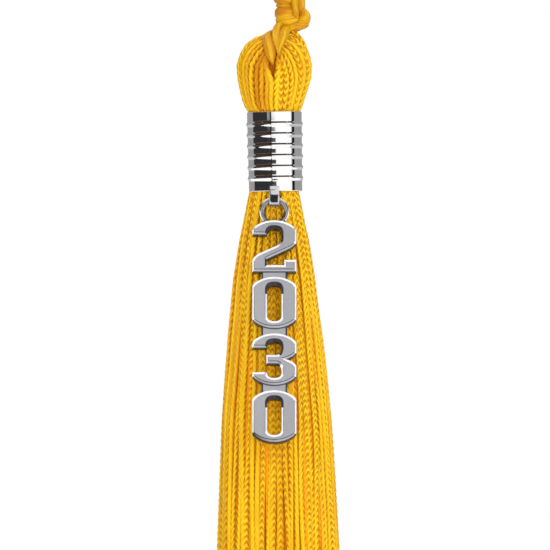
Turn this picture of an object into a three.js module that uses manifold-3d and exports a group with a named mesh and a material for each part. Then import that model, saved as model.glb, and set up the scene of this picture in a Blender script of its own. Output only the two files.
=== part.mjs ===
// Graduation tassel: a skein of chainette yarn folded over a hanging cord, a ribbed metal band round its
// neck, and a cast year charm that swings in a hook under the band. Millimetres, +Z up, front towards -Y.
// The origin is the inside top of the hanging loop, where a button or a hook would carry it.
import * as THREE from 'three';
import { mergeVertices } from 'three/addons/utils/BufferGeometryUtils.js';
import Module from 'manifold-3d';

const wasm = await Module();
wasm.setup();

// Driving dimensions
const BAND_TOP = -101.6;            // height of the band's upper rim
const BAND_LENGTH = 15.1;
const BAND_RADIUS = 5.12;           // of the smooth collars
const BAND_WALL = 0.37;
const BAND_TAPER = 0.02;            // the upper collar stands out, the lower one in, by this much
const BAND_SIDES = 28;
const RIB_COUNT = 6;
const RIB_PITCH = 2.05;
const RIB_WIDTH = 1.0;
const RIB_HEIGHT = 0.2;
const FIRST_RIB = 2.35;             // from the upper rim to the first rib's middle
const BAND_LEAN = 1.0;              // degrees, right side up

const CORD_DIAMETER = 2.3;
const CORD_SIDES = 8;
const GAP = 0.3;                    // between pieces that touch
const KNOT_TOP = 23.9;              // above the band's upper rim

const STRAND = 1.2;                 // thickness of one yarn strand
const STRAND_FILL = 0.74;           // share of a ring's pitch that a strand takes
const STRAND_STEPS = 5;
const RIDGES = 36;                  // strands seen round the head and the roots
const ROOT_END = -33.5;             // lower end of the fused roots, from the band's upper rim
const SKIRT_END = -213.8;
const UNEVEN = 3;                   // how far strand ends differ
const ROOT_OVERLAP = 1.2;           // how far a strand runs up into the fused roots
const ROOT_POINT = 0.4;             // the roots' shallow cone between the strands
const STEP_GROWTH = 1.5;            // a strand's steps lengthen downwards by this power
const STRAND_WANDER = 0.08;         // share of a pitch that a strand's place varies
const STRAND_SWAY = 0.06;           // share of a pitch that a strand bends to the side
const SWAY_TURN = 7;                // radians of sway along a strand

const HOOK_WIDTH = 1.9;
const HOOK_THICKNESS = 0.38;
const HOOK_BEND = 0.95;             // inner radius of the curl
const HOOK_TIP = 2.6;               // height of the free end above the curl's centre
const HOOK_ROOT = 7.2;              // height of the held end above the curl's centre
const NOTCH = { depth: 3.4, height: 9.2, rise: 2.8 };  // room in the yarn for the strip
const PIVOT_Y = -5.3;               // the curl's centre, where the charm's eye bears
const PIVOT_Z = -16.73;             // from the band's upper rim

const CHARM_LEAN = 10;              // degrees that the charm leans out over the flared yarn
const CHARM_DEPTH = 2.4;
const CHARM_BEVEL = 0.3;
const EYE_RADIUS = 2.33;            // to the middle of the eye's wire
const EYE_WIRE = 0.475;             // radius of the eye's wire
const EYE_SIDES = 24;
const FIRST_NUMERAL = 4.14;         // from the pivot down to the first numeral's top
const NUMERAL_PITCH = 10.83;
const NUMERAL_HEIGHT = 10.0;
const NUMERAL_HALF = 4.15;          // half of a numeral's width
const LINK = { width: 4.6, height: 2.2, depth: 1.2 };

// Sections through the yarn: height from the band's upper rim, half width, half depth, how far the middle
// stands to the right, and the height of the strand ridges.
const SECTIONS = [
  { z: 15.1, width: 0, depth: 0, shift: 0.5, ridge: 0 },
  { z: 14.9, width: 2.2, depth: 1.9, shift: 0.5, ridge: 0.12 },
  { z: 14.2, width: 4.1, depth: 3.5, shift: 0.4, ridge: 0.25 },
  { z: 13.0, width: 5.5, depth: 4.7, shift: 0.2, ridge: 0.34 },
  { z: 11.2, width: 6.5, depth: 5.6, shift: 0.1, ridge: 0.34 },
  { z: 9.0, width: 7.1, depth: 6.1, shift: 0, ridge: 0.34 },
  { z: 6.6, width: 7.0, depth: 6.1, shift: 0, ridge: 0.34 },
  { z: 4.3, width: 6.5, depth: 5.8, shift: -0.1, ridge: 0.34 },
  { z: 2.0, width: 5.8, depth: 5.4, shift: -0.2, ridge: 0.3 },
  { z: 0.55, width: 5.2, depth: 5.1, shift: -0.2, ridge: 0.2 },
  { z: 0.4, width: 4.2, depth: 4.2, shift: -0.1, ridge: 0.05 },
  { z: -15.5, width: 4.2, depth: 4.2, shift: 0, ridge: 0.05 },
  { z: -15.7, width: 4.9, depth: 4.35, shift: 0, ridge: 0.2 },
  { z: -20.5, width: 5.8, depth: 4.4, shift: 0, ridge: 0.25 },
  { z: -25.0, width: 6.8, depth: 5.15, shift: 0.05, ridge: 0.34 },
  { z: -31.9, width: 7.9, depth: 6.3, shift: 0.1, ridge: 0.34 },
  { z: -33.5, width: 8.1, depth: 6.55, shift: 0.1, ridge: 0.34 },
  { z: -43.3, width: 9.15, depth: 7.9, shift: 0.25, ridge: 0 },
  { z: -58.5, width: 10.5, depth: 9.4, shift: 0.45, ridge: 0 },
  { z: -83.0, width: 11.65, depth: 10.6, shift: 0.7, ridge: 0 },
  { z: -130.0, width: 12.3, depth: 11.3, shift: 0.75, ridge: 0 },
  { z: -220.0, width: 12.9, depth: 11.9, shift: 0.8, ridge: 0 },
];

// Rings of strands from the outside in: how many, and how far out as a share of the half width.
const RINGS = [
  { count: 38, reach: 1.0 },
  { count: 30, reach: 0.73 },
  { count: 20, reach: 0.47 },
  { count: 8, reach: 0.2 },
];

// The cleft where the two halves of the folded skein meet under the cord, at the front and the back.
const CLEFT = { x: -0.8, top: 9.4, bottom: 1.6, width: 0.8, depth: 1.1 };

const radians = THREE.MathUtils.degToRad;

// The yarn's section at any height, between the two nearest rows of SECTIONS.
function sectionAt(z) {
  const last = SECTIONS.length - 1;
  const below = Math.max(1, SECTIONS.findIndex((row, i) => row.z <= z || i === last));
  const upper = SECTIONS[below - 1];
  const lower = SECTIONS[below];
  const t = THREE.MathUtils.clamp((upper.z - z) / (upper.z - lower.z), 0, 1);
  const mixed = {};
  for (const key of ['width', 'depth', 'shift', 'ridge']) {
    mixed[key] = THREE.MathUtils.lerp(upper[key], lower[key], t);
  }
  return mixed;
}

// A steady number from -1 to 1 for the n-th strand and a topic, so that strands differ without chance.
function waver(n, topic) {
  return Math.sin(n * 2.399 + topic * 1.7) * Math.cos(n * 0.731 + topic * 4.1);
}

// Solids for joining and cutting
function solid(geometry) {
  const bare = new THREE.BufferGeometry();
  bare.setAttribute('position', geometry.getAttribute('position'));
  bare.setIndex(geometry.index);
  const merged = mergeVertices(bare, 1e-4);
  const corners = merged.index.array;
  const kept = [];
  for (let i = 0; i < corners.length; i += 3) {
    const [a, b, c] = corners.subarray(i, i + 3);
    if (a !== b && b !== c && c !== a) {
      kept.push(a, b, c);
    }
  }
  return new wasm.Manifold(new wasm.Mesh({
    numProp: 3,
    vertProperties: merged.getAttribute('position').array,
    triVerts: new Uint32Array(kept),
  }));
}

function joined(geometries) {
  return geometries.map(solid).reduce((whole, piece) => whole.add(piece));
}

function geometryOf(manifold) {
  const mesh = manifold.getMesh();
  const geometry = new THREE.BufferGeometry();
  const places = new Float32Array(mesh.vertProperties);
  geometry.setAttribute('position', new THREE.BufferAttribute(places, mesh.numProp));
  geometry.setIndex(new THREE.BufferAttribute(new Uint32Array(mesh.triVerts), 1));
  const flat = geometry.toNonIndexed();
  flat.computeVertexNormals();
  return flat;
}

// A round cord along hand-placed points, with plain ends.
function cord(points, radius, steps) {
  const corners = [];
  for (let i = 0; i < CORD_SIDES; i += 1) {
    const angle = (i / CORD_SIDES) * Math.PI * 2;
    corners.push(new THREE.Vector2(radius * Math.cos(angle), radius * Math.sin(angle)));
  }
  const section = new THREE.Shape(corners);
  const extrudePath = new THREE.CatmullRomCurve3(points.map((p) => new THREE.Vector3(...p)));
  return new THREE.ExtrudeGeometry(section, { steps, extrudePath, bevelEnabled: false });
}

// Yarn
// The head, the neck in the band and the fused roots are one ridged body, turned on the tassel's axis and
// then moved in its points: flattened, shifted, ridged and parted at the cleft.
function bundle() {
  const rows = SECTIONS.filter((row) => row.z >= ROOT_END);
  const profile = rows.map((row) => new THREE.Vector2(row.width, row.z));
  profile.push(new THREE.Vector2(0, ROOT_END - ROOT_POINT));
  profile.reverse();
  const geometry = new THREE.LatheGeometry(profile, RIDGES * 2);
  geometry.rotateX(Math.PI / 2);
  const place = geometry.getAttribute('position');
  const stretch = (z) => sectionAt(z).depth / Math.max(sectionAt(z).width, 0.01);
  for (let i = 0; i < place.count; i += 1) {
    const z = place.getZ(i);
    const row = sectionAt(z);
    const radius = Math.hypot(place.getX(i), place.getY(i));
    if (radius > 0.01) {
      const angle = Math.atan2(place.getY(i), place.getX(i));
      const ridged = radius + row.ridge * (Math.cos(angle * RIDGES) - 1) * 0.5;
      const x = ridged * Math.cos(angle);
      const y = ridged * Math.sin(angle) * stretch(z);
      place.setXYZ(i, x + row.shift, y - Math.sign(y) * cleftDepth(x, z), z);
    } else {
      place.setX(i, row.shift);
    }
  }
  return geometry;
}

function cleftDepth(x, z) {
  const across = Math.max(0, 1 - Math.abs(x - CLEFT.x) / CLEFT.width);
  const along = (z - CLEFT.bottom) / (CLEFT.top - CLEFT.bottom);
  const inside = along > 0 && along < 1 ? Math.sin(along * Math.PI) : 0;
  return CLEFT.depth * across * inside;
}

// One hanging strand: a four-sided rod whose points follow the skirt's flare.
function strand(ring, index, serial) {
  const top = ROOT_END + ROOT_OVERLAP;
  const bottom = SKIRT_END + (UNEVEN / 2) * (1 + waver(serial, 1));
  const halfStep = ring.count % 4 === 2 ? 0.5 : 0;
  const turn = (index + halfStep + STRAND_WANDER * waver(serial, 2)) / ring.count;
  const angle = turn * Math.PI * 2;
  const geometry = new THREE.BoxGeometry(1, 1, 1, 1, 1, STRAND_STEPS);
  const place = geometry.getAttribute('position');
  for (let i = 0; i < place.count; i += 1) {
    const along = Math.pow(0.5 - place.getZ(i), STEP_GROWTH);
    const z = THREE.MathUtils.lerp(top, bottom, along);
    const row = sectionAt(z);
    const reachX = (row.width - STRAND / 2) * ring.reach;
    const reachY = (row.depth - STRAND / 2) * ring.reach;
    const pitch = (Math.PI * (reachX + reachY)) / ring.count;
    const wide = Math.min(STRAND, pitch * STRAND_FILL);
    const sway = STRAND_SWAY * pitch * Math.sin(along * SWAY_TURN + serial);
    const across = place.getX(i) * wide + sway;
    const out = place.getY(i) * wide;
    const x = row.shift + (reachX + out) * Math.cos(angle) + across * Math.sin(angle);
    const y = (reachY + out) * Math.sin(angle) - across * Math.cos(angle);
    place.setXYZ(i, x, y, z);
  }
  return geometry;
}

function skirtStrands() {
  const strands = [];
  for (const ring of RINGS) {
    for (let index = 0; index < ring.count; index += 1) {
      strands.push(strand(ring, index, strands.length));
    }
  }
  return strands;
}

// Cord: routes are x, y and height from the band's upper rim
// Each run leaves the knot, lies over the front of the head, dives through the skein under its fold and
// comes up the back to the knot again.
const RUNS = [
  [
    [1.75, 0, KNOT_TOP], [1.75, 0, 22.2], [1.7, 0.2, 20.0], [1.6, -0.3, 18.0], [0.9, -1.9, 16.7],
    [-0.3, -3.3, 15.3], [-1.1, -4.9, 13.5], [-1.3, -5.8, 11.6], [-1.0, -5.8, 9.9], [-0.7, -4.2, 8.6],
    [-0.6, 0, 8.0], [-0.8, 4.2, 8.8], [-1.1, 5.9, 10.2], [-1.2, 5.6, 12.4], [-0.7, 4.0, 14.6],
    [0.6, 2.0, 16.4], [1.9, 0.8, 17.8],
  ],
  [
    [4.3, 0, KNOT_TOP], [4.3, -0.2, 22.4], [4.8, -1.2, 20.8], [5.15, -1.6, 19.6], [5.7, -0.9, 18.3],
    [5.1, -0.7, 17.2], [3.6, -1.2, 16.8], [2.2, -2.4, 16.0], [1.3, -4.2, 14.4], [0.95, -5.5, 12.6],
    [1.0, -5.4, 11.0], [1.3, -3.6, 10.4], [1.6, 0, 10.4], [1.4, 3.8, 10.8], [1.2, 5.4, 12.0],
    [1.4, 4.4, 14.2], [2.4, 2.2, 16.4], [3.2, 0.8, 17.8],
  ],
];
const RUN_STEPS = 28;

// Wraps of the knot: middle, radius to the middle of the cord, stretch in height, and lean in degrees.
const WRAPS = [
  { x: 2.75, z: 20.9, radius: 1.75, stretch: 1.0, lean: 4 },
  { x: 2.45, z: 18.1, radius: 1.35, stretch: 1.2, lean: -14 },
];
const WRAP_STEPS = 16;

function knotGeometries() {
  const wraps = WRAPS.map((wrap) => {
    const ring = new THREE.TorusGeometry(wrap.radius, CORD_DIAMETER / 2, CORD_SIDES, WRAP_STEPS);
    ring.scale(1, 1, wrap.stretch);
    ring.rotateY(radians(wrap.lean));
    return ring.translate(wrap.x, 0, wrap.z);
  });
  const runs = RUNS.map((points) => cord(points, CORD_DIAMETER / 2, RUN_STEPS));
  return [...wraps, ...runs];
}

// The loop above the knot, measured from the origin: up the left side, over the top and down the right.
const LOOP_TOP_RADIUS = 5.4;
const LOOP_TOP_Z = CORD_DIAMETER / 2 - LOOP_TOP_RADIUS;
const LOOP_START = BAND_TOP + KNOT_TOP + GAP;
const LOOP_LEFT = [
  [1.75, 0, LOOP_START], [1.7, 0, -74.5], [0.8, -0.3, -67], [-0.7, -0.6, -58], [-2.1, -0.7, -48],
  [-3.4, -0.6, -38], [-4.5, -0.5, -28], [-5.1, -0.3, -18], [-5.4, -0.1, -10],
];
const LOOP_RIGHT = [
  [5.5, 0.1, -10], [5.6, 0.3, -18], [5.5, 0.5, -28], [5.3, 0.6, -38], [4.9, 0.7, -48],
  [4.6, 0.6, -58], [4.4, 0.3, -67], [4.3, 0, -74.5], [4.3, 0, LOOP_START],
];
const LOOP_STEPS = 40;

function loopGeometry() {
  const arc = [];
  for (let degrees = 180; degrees >= 0; degrees -= 30) {
    const angle = radians(degrees);
    arc.push([
      LOOP_TOP_RADIUS * Math.cos(angle), 0, LOOP_TOP_Z + LOOP_TOP_RADIUS * Math.sin(angle),
    ]);
  }
  return cord([...LOOP_LEFT, ...arc, ...LOOP_RIGHT], CORD_DIAMETER / 2, LOOP_STEPS);
}

// Metal
function bandGeometry() {
  const profile = [new THREE.Vector2(BAND_RADIUS - BAND_WALL, -BAND_LENGTH)];
  profile.push(new THREE.Vector2(BAND_RADIUS - BAND_TAPER, -BAND_LENGTH));
  for (let rib = RIB_COUNT - 1; rib >= 0; rib -= 1) {
    const middle = -(FIRST_RIB + rib * RIB_PITCH);
    profile.push(new THREE.Vector2(BAND_RADIUS, middle - RIB_WIDTH / 2));
    profile.push(new THREE.Vector2(BAND_RADIUS + RIB_HEIGHT, middle - RIB_WIDTH / 5));
    profile.push(new THREE.Vector2(BAND_RADIUS + RIB_HEIGHT, middle + RIB_WIDTH / 5));
    profile.push(new THREE.Vector2(BAND_RADIUS, middle + RIB_WIDTH / 2));
  }
  profile.push(new THREE.Vector2(BAND_RADIUS + BAND_TAPER, 0));
  profile.push(new THREE.Vector2(BAND_RADIUS - BAND_WALL, 0));
  profile.push(profile[0].clone());
  return new THREE.LatheGeometry(profile, BAND_SIDES).rotateX(Math.PI / 2);
}

// The side view of the strip, y across and z up from the curl's centre, drawn through to its width.
function hookGeometry() {
  const inner = HOOK_BEND;
  const outer = HOOK_BEND + HOOK_THICKNESS;
  const side = new THREE.Shape();
  side.moveTo(inner, HOOK_ROOT);
  side.lineTo(inner, 0);
  side.absarc(0, 0, inner, 0, -Math.PI, true);
  side.lineTo(-inner, HOOK_TIP);
  side.lineTo(-outer, HOOK_TIP);
  side.lineTo(-outer, 0);
  side.absarc(0, 0, outer, Math.PI, Math.PI * 2, false);
  side.lineTo(outer, HOOK_ROOT);
  const geometry = new THREE.ExtrudeGeometry(side, {
    depth: HOOK_WIDTH, bevelEnabled: false, curveSegments: 8,
  });
  geometry.translate(0, 0, -HOOK_WIDTH / 2);
  const across = new THREE.Vector3(1, 0, 0);
  const back = new THREE.Vector3(0, 1, 0);
  const up = new THREE.Vector3(0, 0, 1);
  return geometry.applyMatrix4(new THREE.Matrix4().makeBasis(back, up, across));
}

// Numerals, drawn from their own middle: x to the right and y up
const TOP = NUMERAL_HEIGHT / 2;
const SHOULDER = 2.95;              // height where the rounded top starts
const COUNTER = 1.6;                // half width of the counter
const COUNTER_TOP = 3.8;
const COUNTER_SHOULDER = 2.8;
const SERIF = 2.1;                  // lower edge of the upper left stroke of the 2 and the 3

// The rounded top from the left shoulder to the right one, as on all four numerals.
function overTheTop(shape) {
  shape.quadraticCurveTo(-NUMERAL_HALF, 3.5, -3.4, 4.0);
  shape.quadraticCurveTo(-1.9, TOP, 0, TOP);
  shape.quadraticCurveTo(1.9, TOP, 3.4, 4.0);
  shape.quadraticCurveTo(NUMERAL_HALF, 3.5, NUMERAL_HALF, SHOULDER);
}

function underTheBottom(shape) {
  shape.quadraticCurveTo(NUMERAL_HALF, -3.5, 3.4, -4.0);
  shape.quadraticCurveTo(1.9, -TOP, 0, -TOP);
  shape.quadraticCurveTo(-1.9, -TOP, -3.4, -4.0);
  shape.quadraticCurveTo(-NUMERAL_HALF, -3.5, -NUMERAL_HALF, -SHOULDER);
}

function drawZero() {
  const shape = new THREE.Shape();
  shape.moveTo(-NUMERAL_HALF, SHOULDER);
  overTheTop(shape);
  shape.lineTo(NUMERAL_HALF, -SHOULDER);
  underTheBottom(shape);
  shape.closePath();
  const counter = new THREE.Path();
  counter.moveTo(COUNTER, COUNTER_SHOULDER);
  counter.quadraticCurveTo(COUNTER, COUNTER_TOP, 0, COUNTER_TOP);
  counter.quadraticCurveTo(-COUNTER, COUNTER_TOP, -COUNTER, COUNTER_SHOULDER);
  counter.lineTo(-COUNTER, -COUNTER_SHOULDER);
  counter.quadraticCurveTo(-COUNTER, -COUNTER_TOP, 0, -COUNTER_TOP);
  counter.quadraticCurveTo(COUNTER, -COUNTER_TOP, COUNTER, -COUNTER_SHOULDER);
  counter.closePath();
  shape.holes.push(counter);
  return shape;
}

function drawTwo() {
  const shape = new THREE.Shape();
  shape.moveTo(-NUMERAL_HALF, SERIF);
  shape.lineTo(-NUMERAL_HALF, SHOULDER);
  overTheTop(shape);
  shape.lineTo(NUMERAL_HALF, 1.0);
  shape.quadraticCurveTo(NUMERAL_HALF, 0.1, 2.9, -0.6);
  shape.lineTo(-1.4, -2.6);
  shape.lineTo(-1.4, -3.6);
  shape.lineTo(1.9, -3.6);
  shape.lineTo(1.9, -2.6);
  shape.lineTo(NUMERAL_HALF, -2.6);
  shape.lineTo(NUMERAL_HALF, -TOP);
  shape.lineTo(-NUMERAL_HALF, -TOP);
  shape.lineTo(-NUMERAL_HALF, -2.9);
  shape.quadraticCurveTo(-4.0, -2.0, -2.9, -1.4);
  shape.lineTo(0.6, 0.2);
  shape.quadraticCurveTo(COUNTER, 0.8, COUNTER, 1.6);
  shape.lineTo(COUNTER, COUNTER_SHOULDER);
  shape.quadraticCurveTo(COUNTER, COUNTER_TOP, 0, COUNTER_TOP);
  shape.quadraticCurveTo(-COUNTER, COUNTER_TOP, -COUNTER, COUNTER_SHOULDER);
  shape.lineTo(-COUNTER, SERIF);
  shape.closePath();
  return shape;
}

function drawThree() {
  const shape = new THREE.Shape();
  shape.moveTo(-NUMERAL_HALF, SERIF);
  shape.lineTo(-NUMERAL_HALF, SHOULDER);
  overTheTop(shape);
  shape.lineTo(NUMERAL_HALF, 1.3);
  shape.quadraticCurveTo(3.9, 0.5, 2.45, 0);
  shape.quadraticCurveTo(3.9, -0.5, NUMERAL_HALF, -1.3);
  shape.lineTo(NUMERAL_HALF, -SHOULDER);
  underTheBottom(shape);
  shape.lineTo(-NUMERAL_HALF, -2.4);
  shape.lineTo(-COUNTER, -2.4);
  shape.lineTo(-COUNTER, -COUNTER_SHOULDER);
  shape.quadraticCurveTo(-COUNTER, -COUNTER_TOP, 0, -COUNTER_TOP);
  shape.quadraticCurveTo(COUNTER, -COUNTER_TOP, COUNTER, -COUNTER_SHOULDER);
  shape.quadraticCurveTo(COUNTER, -1.0, 0.5, -0.9);
  shape.lineTo(-1.5, -0.9);
  shape.lineTo(-1.5, 0.9);
  shape.lineTo(0.5, 0.9);
  shape.quadraticCurveTo(COUNTER, 1.0, COUNTER, COUNTER_SHOULDER);
  shape.quadraticCurveTo(COUNTER, COUNTER_TOP, 0, COUNTER_TOP);
  shape.quadraticCurveTo(-COUNTER, COUNTER_TOP, -COUNTER, COUNTER_SHOULDER);
  shape.lineTo(-COUNTER, SERIF);
  shape.closePath();
  return shape;
}

// A numeral stands in the charm's plane, its face to the front, with a bevel round both faces.
function numeral(shape, order) {
  const straight = CHARM_DEPTH - CHARM_BEVEL * 2;
  const geometry = new THREE.ExtrudeGeometry(shape, {
    depth: straight, curveSegments: 2, bevelEnabled: true, bevelSegments: 1,
    bevelThickness: CHARM_BEVEL, bevelSize: CHARM_BEVEL, bevelOffset: -CHARM_BEVEL,
  });
  geometry.translate(0, 0, -straight / 2);
  geometry.rotateX(Math.PI / 2);
  return geometry.translate(0, 0, -(FIRST_NUMERAL + order * NUMERAL_PITCH + TOP));
}

// The bar that joins a numeral to the next one, thinner than the numerals.
function link(order) {
  const bar = new THREE.BoxGeometry(LINK.width, LINK.depth, LINK.height);
  const middle = FIRST_NUMERAL + (order + 1) * NUMERAL_PITCH - (NUMERAL_PITCH - NUMERAL_HEIGHT) / 2;
  return bar.translate(0, 0, -middle);
}

function charmGeometry() {
  const eye = new THREE.TorusGeometry(EYE_RADIUS, EYE_WIRE, CORD_SIDES, EYE_SIDES);
  eye.rotateX(Math.PI / 2);
  eye.translate(0, 0, -EYE_RADIUS);
  const drawings = [drawTwo(), drawZero(), drawThree(), drawZero()];
  const numerals = drawings.map(numeral);
  const links = [0, 1, 2].map(link);
  return geometryOf(joined([eye, ...numerals, ...links]));
}

// Assembly
const YARN = new THREE.MeshStandardMaterial({ color: 0xe9ab14, roughness: 0.55, metalness: 0 });
const FLOSS = new THREE.MeshStandardMaterial({ color: 0xf0b41c, roughness: 0.4, metalness: 0 });
const CHROME = new THREE.MeshStandardMaterial({ color: 0xd8d8da, roughness: 0.08, metalness: 1 });
const SATIN = new THREE.MeshStandardMaterial({ color: 0xb4b4bc, roughness: 0.35, metalness: 1 });

function piece(name, geometry, material) {
  const mesh = new THREE.Mesh(geometry, material.clone());
  mesh.name = name;
  return mesh;
}

const tassel = new THREE.Group();
const fromBand = new THREE.Group();
fromBand.position.z = BAND_TOP;
tassel.add(fromBand);

// The cord's bed in the skein is the cord itself, made thicker by the gap.
const yarn = joined([bundle(), ...skirtStrands()]);
const cordBed = joined(RUNS.map((points) => cord(points, CORD_DIAMETER / 2 + GAP, RUN_STEPS)));
const notch = new THREE.BoxGeometry(HOOK_WIDTH + GAP * 2.5, NOTCH.depth, NOTCH.height);
const notchBack = PIVOT_Y + HOOK_BEND + HOOK_THICKNESS + GAP;
notch.translate(0, notchBack - NOTCH.depth / 2, PIVOT_Z + NOTCH.rise);
fromBand.add(piece('yarn_skein', geometryOf(yarn.subtract(cordBed).subtract(solid(notch))), YARN));
fromBand.add(piece('cord_knot', geometryOf(joined(knotGeometries())), FLOSS));
tassel.add(piece('hanging_loop', loopGeometry(), FLOSS));

const band = piece('ribbed_band', bandGeometry(), CHROME);
band.rotation.y = -radians(BAND_LEAN);
fromBand.add(band);

const pivot = new THREE.Group();
pivot.position.set(0, PIVOT_Y, PIVOT_Z);
fromBand.add(pivot);
pivot.add(piece('charm_hook', hookGeometry(), CHROME));
const charm = piece('year_charm', charmGeometry(), SATIN);
charm.rotation.x = -radians(CHARM_LEAN);
pivot.add(charm);

export default tassel;
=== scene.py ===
# %% [markdown]
# A graduation tassel, dressed for the camera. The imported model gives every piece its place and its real
# size. Here each piece gets the surface that a hand would feel: chain-stitched rayon yarn, a floss cord, a
# polished band and a cast charm. Lengths are in metres, and the tables are in millimetres, most of them from
# the band's upper rim, because a tassel maker measures from there.
# %% Load the frame
import math

import bmesh
import bpy
import numpy as np
from mathutils import Matrix, Vector


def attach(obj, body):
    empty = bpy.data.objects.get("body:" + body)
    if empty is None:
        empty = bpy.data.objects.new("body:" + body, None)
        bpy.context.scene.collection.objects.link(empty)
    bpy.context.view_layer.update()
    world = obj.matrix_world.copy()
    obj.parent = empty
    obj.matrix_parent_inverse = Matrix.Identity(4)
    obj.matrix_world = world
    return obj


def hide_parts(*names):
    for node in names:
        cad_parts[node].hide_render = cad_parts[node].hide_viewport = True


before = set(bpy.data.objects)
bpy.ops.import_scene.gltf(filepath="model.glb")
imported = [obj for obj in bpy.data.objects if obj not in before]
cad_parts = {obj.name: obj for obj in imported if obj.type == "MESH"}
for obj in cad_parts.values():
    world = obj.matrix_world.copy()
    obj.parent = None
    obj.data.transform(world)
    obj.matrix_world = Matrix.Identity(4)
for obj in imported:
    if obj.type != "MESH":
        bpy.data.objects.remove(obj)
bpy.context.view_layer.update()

MM = 0.001
BAND_TOP = -101.6  # mm, height of the band's upper rim under the top of the loop
BAND_LENGTH = 15.1
BAND_RADIUS = 5.12
BAND_LEAN = math.radians(1.0)
CORD = 2.3  # mm, thickness of the hanging cord
print("nodes in the frame:", ", ".join(sorted(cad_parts)))

# %% [markdown]
# The camera looks level at the tassel's front from far away through a long lens, so upright lines stay
# upright and the bundle isn't swollen by perspective. Its width of view is the photograph's 550 pixels at
# 0.19 mm each. The view's middle falls on the upper numerals, and both ends of the tassel run out of the
# picture.
# %% Camera
PHOTO_SIDE = 550  # pixels
PIXEL = 0.19  # mm of tassel for each pixel
AXIS_PIXEL = 274.3  # column of the band's middle
RIM_PIXEL = 112  # row of the band's upper rim
LENS, SENSOR = 400.0, 36.0

middle = PHOTO_SIDE / 2
view_x = (middle - AXIS_PIXEL) * PIXEL * MM
view_z = (BAND_TOP - (middle - RIM_PIXEL) * PIXEL) * MM
view_distance = PHOTO_SIDE * PIXEL * MM * LENS / SENSOR
camera_data = bpy.data.cameras.new("camera")
camera_data.lens = LENS
camera_data.sensor_width = SENSOR
camera_data.clip_end = 50
camera = bpy.data.objects.new("camera", camera_data)
camera.location = (view_x, -view_distance, view_z)
camera.rotation_euler = (math.radians(90), 0, 0)
bpy.context.collection.objects.link(camera)
bpy.context.scene.camera = camera
print(f"camera {view_distance:.2f} m in front, looking at {view_z * 1000:.0f} mm")

# %% [markdown]
# Cords and strands are all tubes that follow a line. A curve with a bevel would do for a plain one, but
# yarn needs a surface that changes round and along the strand, so the rings are worked out as arrays and
# joined to one mesh. Each ring is laid in the plane across the line, turned so that its front faces away
# from the bundle. The mesh carries its own UV map: U goes once round, V counts stitches, so patterns follow
# the yarn.
# %% Tubes from arrays
FINE_STEPS = 16  # between two given points, before the steps are evened out


def unit(vectors):
    return vectors / np.maximum(np.linalg.norm(vectors, axis=-1, keepdims=True), 1e-9)


def smooth_line(points, count):
    """A Catmull-Rom line through given points, with evenly spaced steps."""
    knots = np.array(points, float)
    padded = np.vstack([2 * knots[0] - knots[1], knots, 2 * knots[-1] - knots[-2]])
    fine = []
    for i in range(len(knots) - 1):
        a, b, c, d = padded[i:i + 4]
        for t in np.linspace(0, 1, FINE_STEPS, endpoint=False):
            fine.append(0.5 * (2 * b + (c - a) * t + (2 * a - 5 * b + 4 * c - d) * t ** 2
                               + (3 * b - a - 3 * c + d) * t ** 3))
    fine.append(knots[-1])
    return evenly(np.array(fine), count)


def steps_of(line):
    return np.linalg.norm(np.diff(line[:, :3], axis=0), axis=1)


def length_of(line):
    return float(steps_of(line).sum())


def evenly(line, count):
    """The same line with evenly spaced steps. Columns after the third are values that go along with it."""
    along = np.concatenate([[0], np.cumsum(steps_of(line))])
    wanted = np.linspace(0, along[-1], count)
    return np.stack([np.interp(wanted, along, line[:, i]) for i in range(line.shape[1])], axis=1)


def turned_in(rings, line, outward):
    """How far each point of the rings is turned away from the open: 0 faces outward, 1 sideways, 2 inward."""
    return 1 - (unit(rings - line[:, None]) * unit(outward)[:, None]).sum(-1)


def rings_along(line, outward, half_width, half_depth, sides, twist=0.0, relief=None):
    """Rings of points across a line. half_width, half_depth and twist are numbers or one value a step."""
    steps = len(line)
    tangent = unit(np.gradient(line, axis=0))
    out = unit(outward - (outward * tangent).sum(1, keepdims=True) * tangent)
    side = np.cross(tangent, out)
    turn = np.broadcast_to(twist, (steps,))[:, None]
    front = out * np.cos(turn) + side * np.sin(turn)
    across = np.cross(tangent, front)
    around = 2 * np.pi * (np.arange(sides) / sides - 0.5)
    width = np.broadcast_to(half_width, (steps,))[:, None] * np.sin(around)
    depth = np.broadcast_to(half_depth, (steps,))[:, None] * np.cos(around)
    grow = 1.0 if relief is None else 1.0 + relief
    width, depth = width * grow, depth * grow
    return line[:, None] + front[:, None] * depth[..., None] + across[:, None] * width[..., None]


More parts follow.
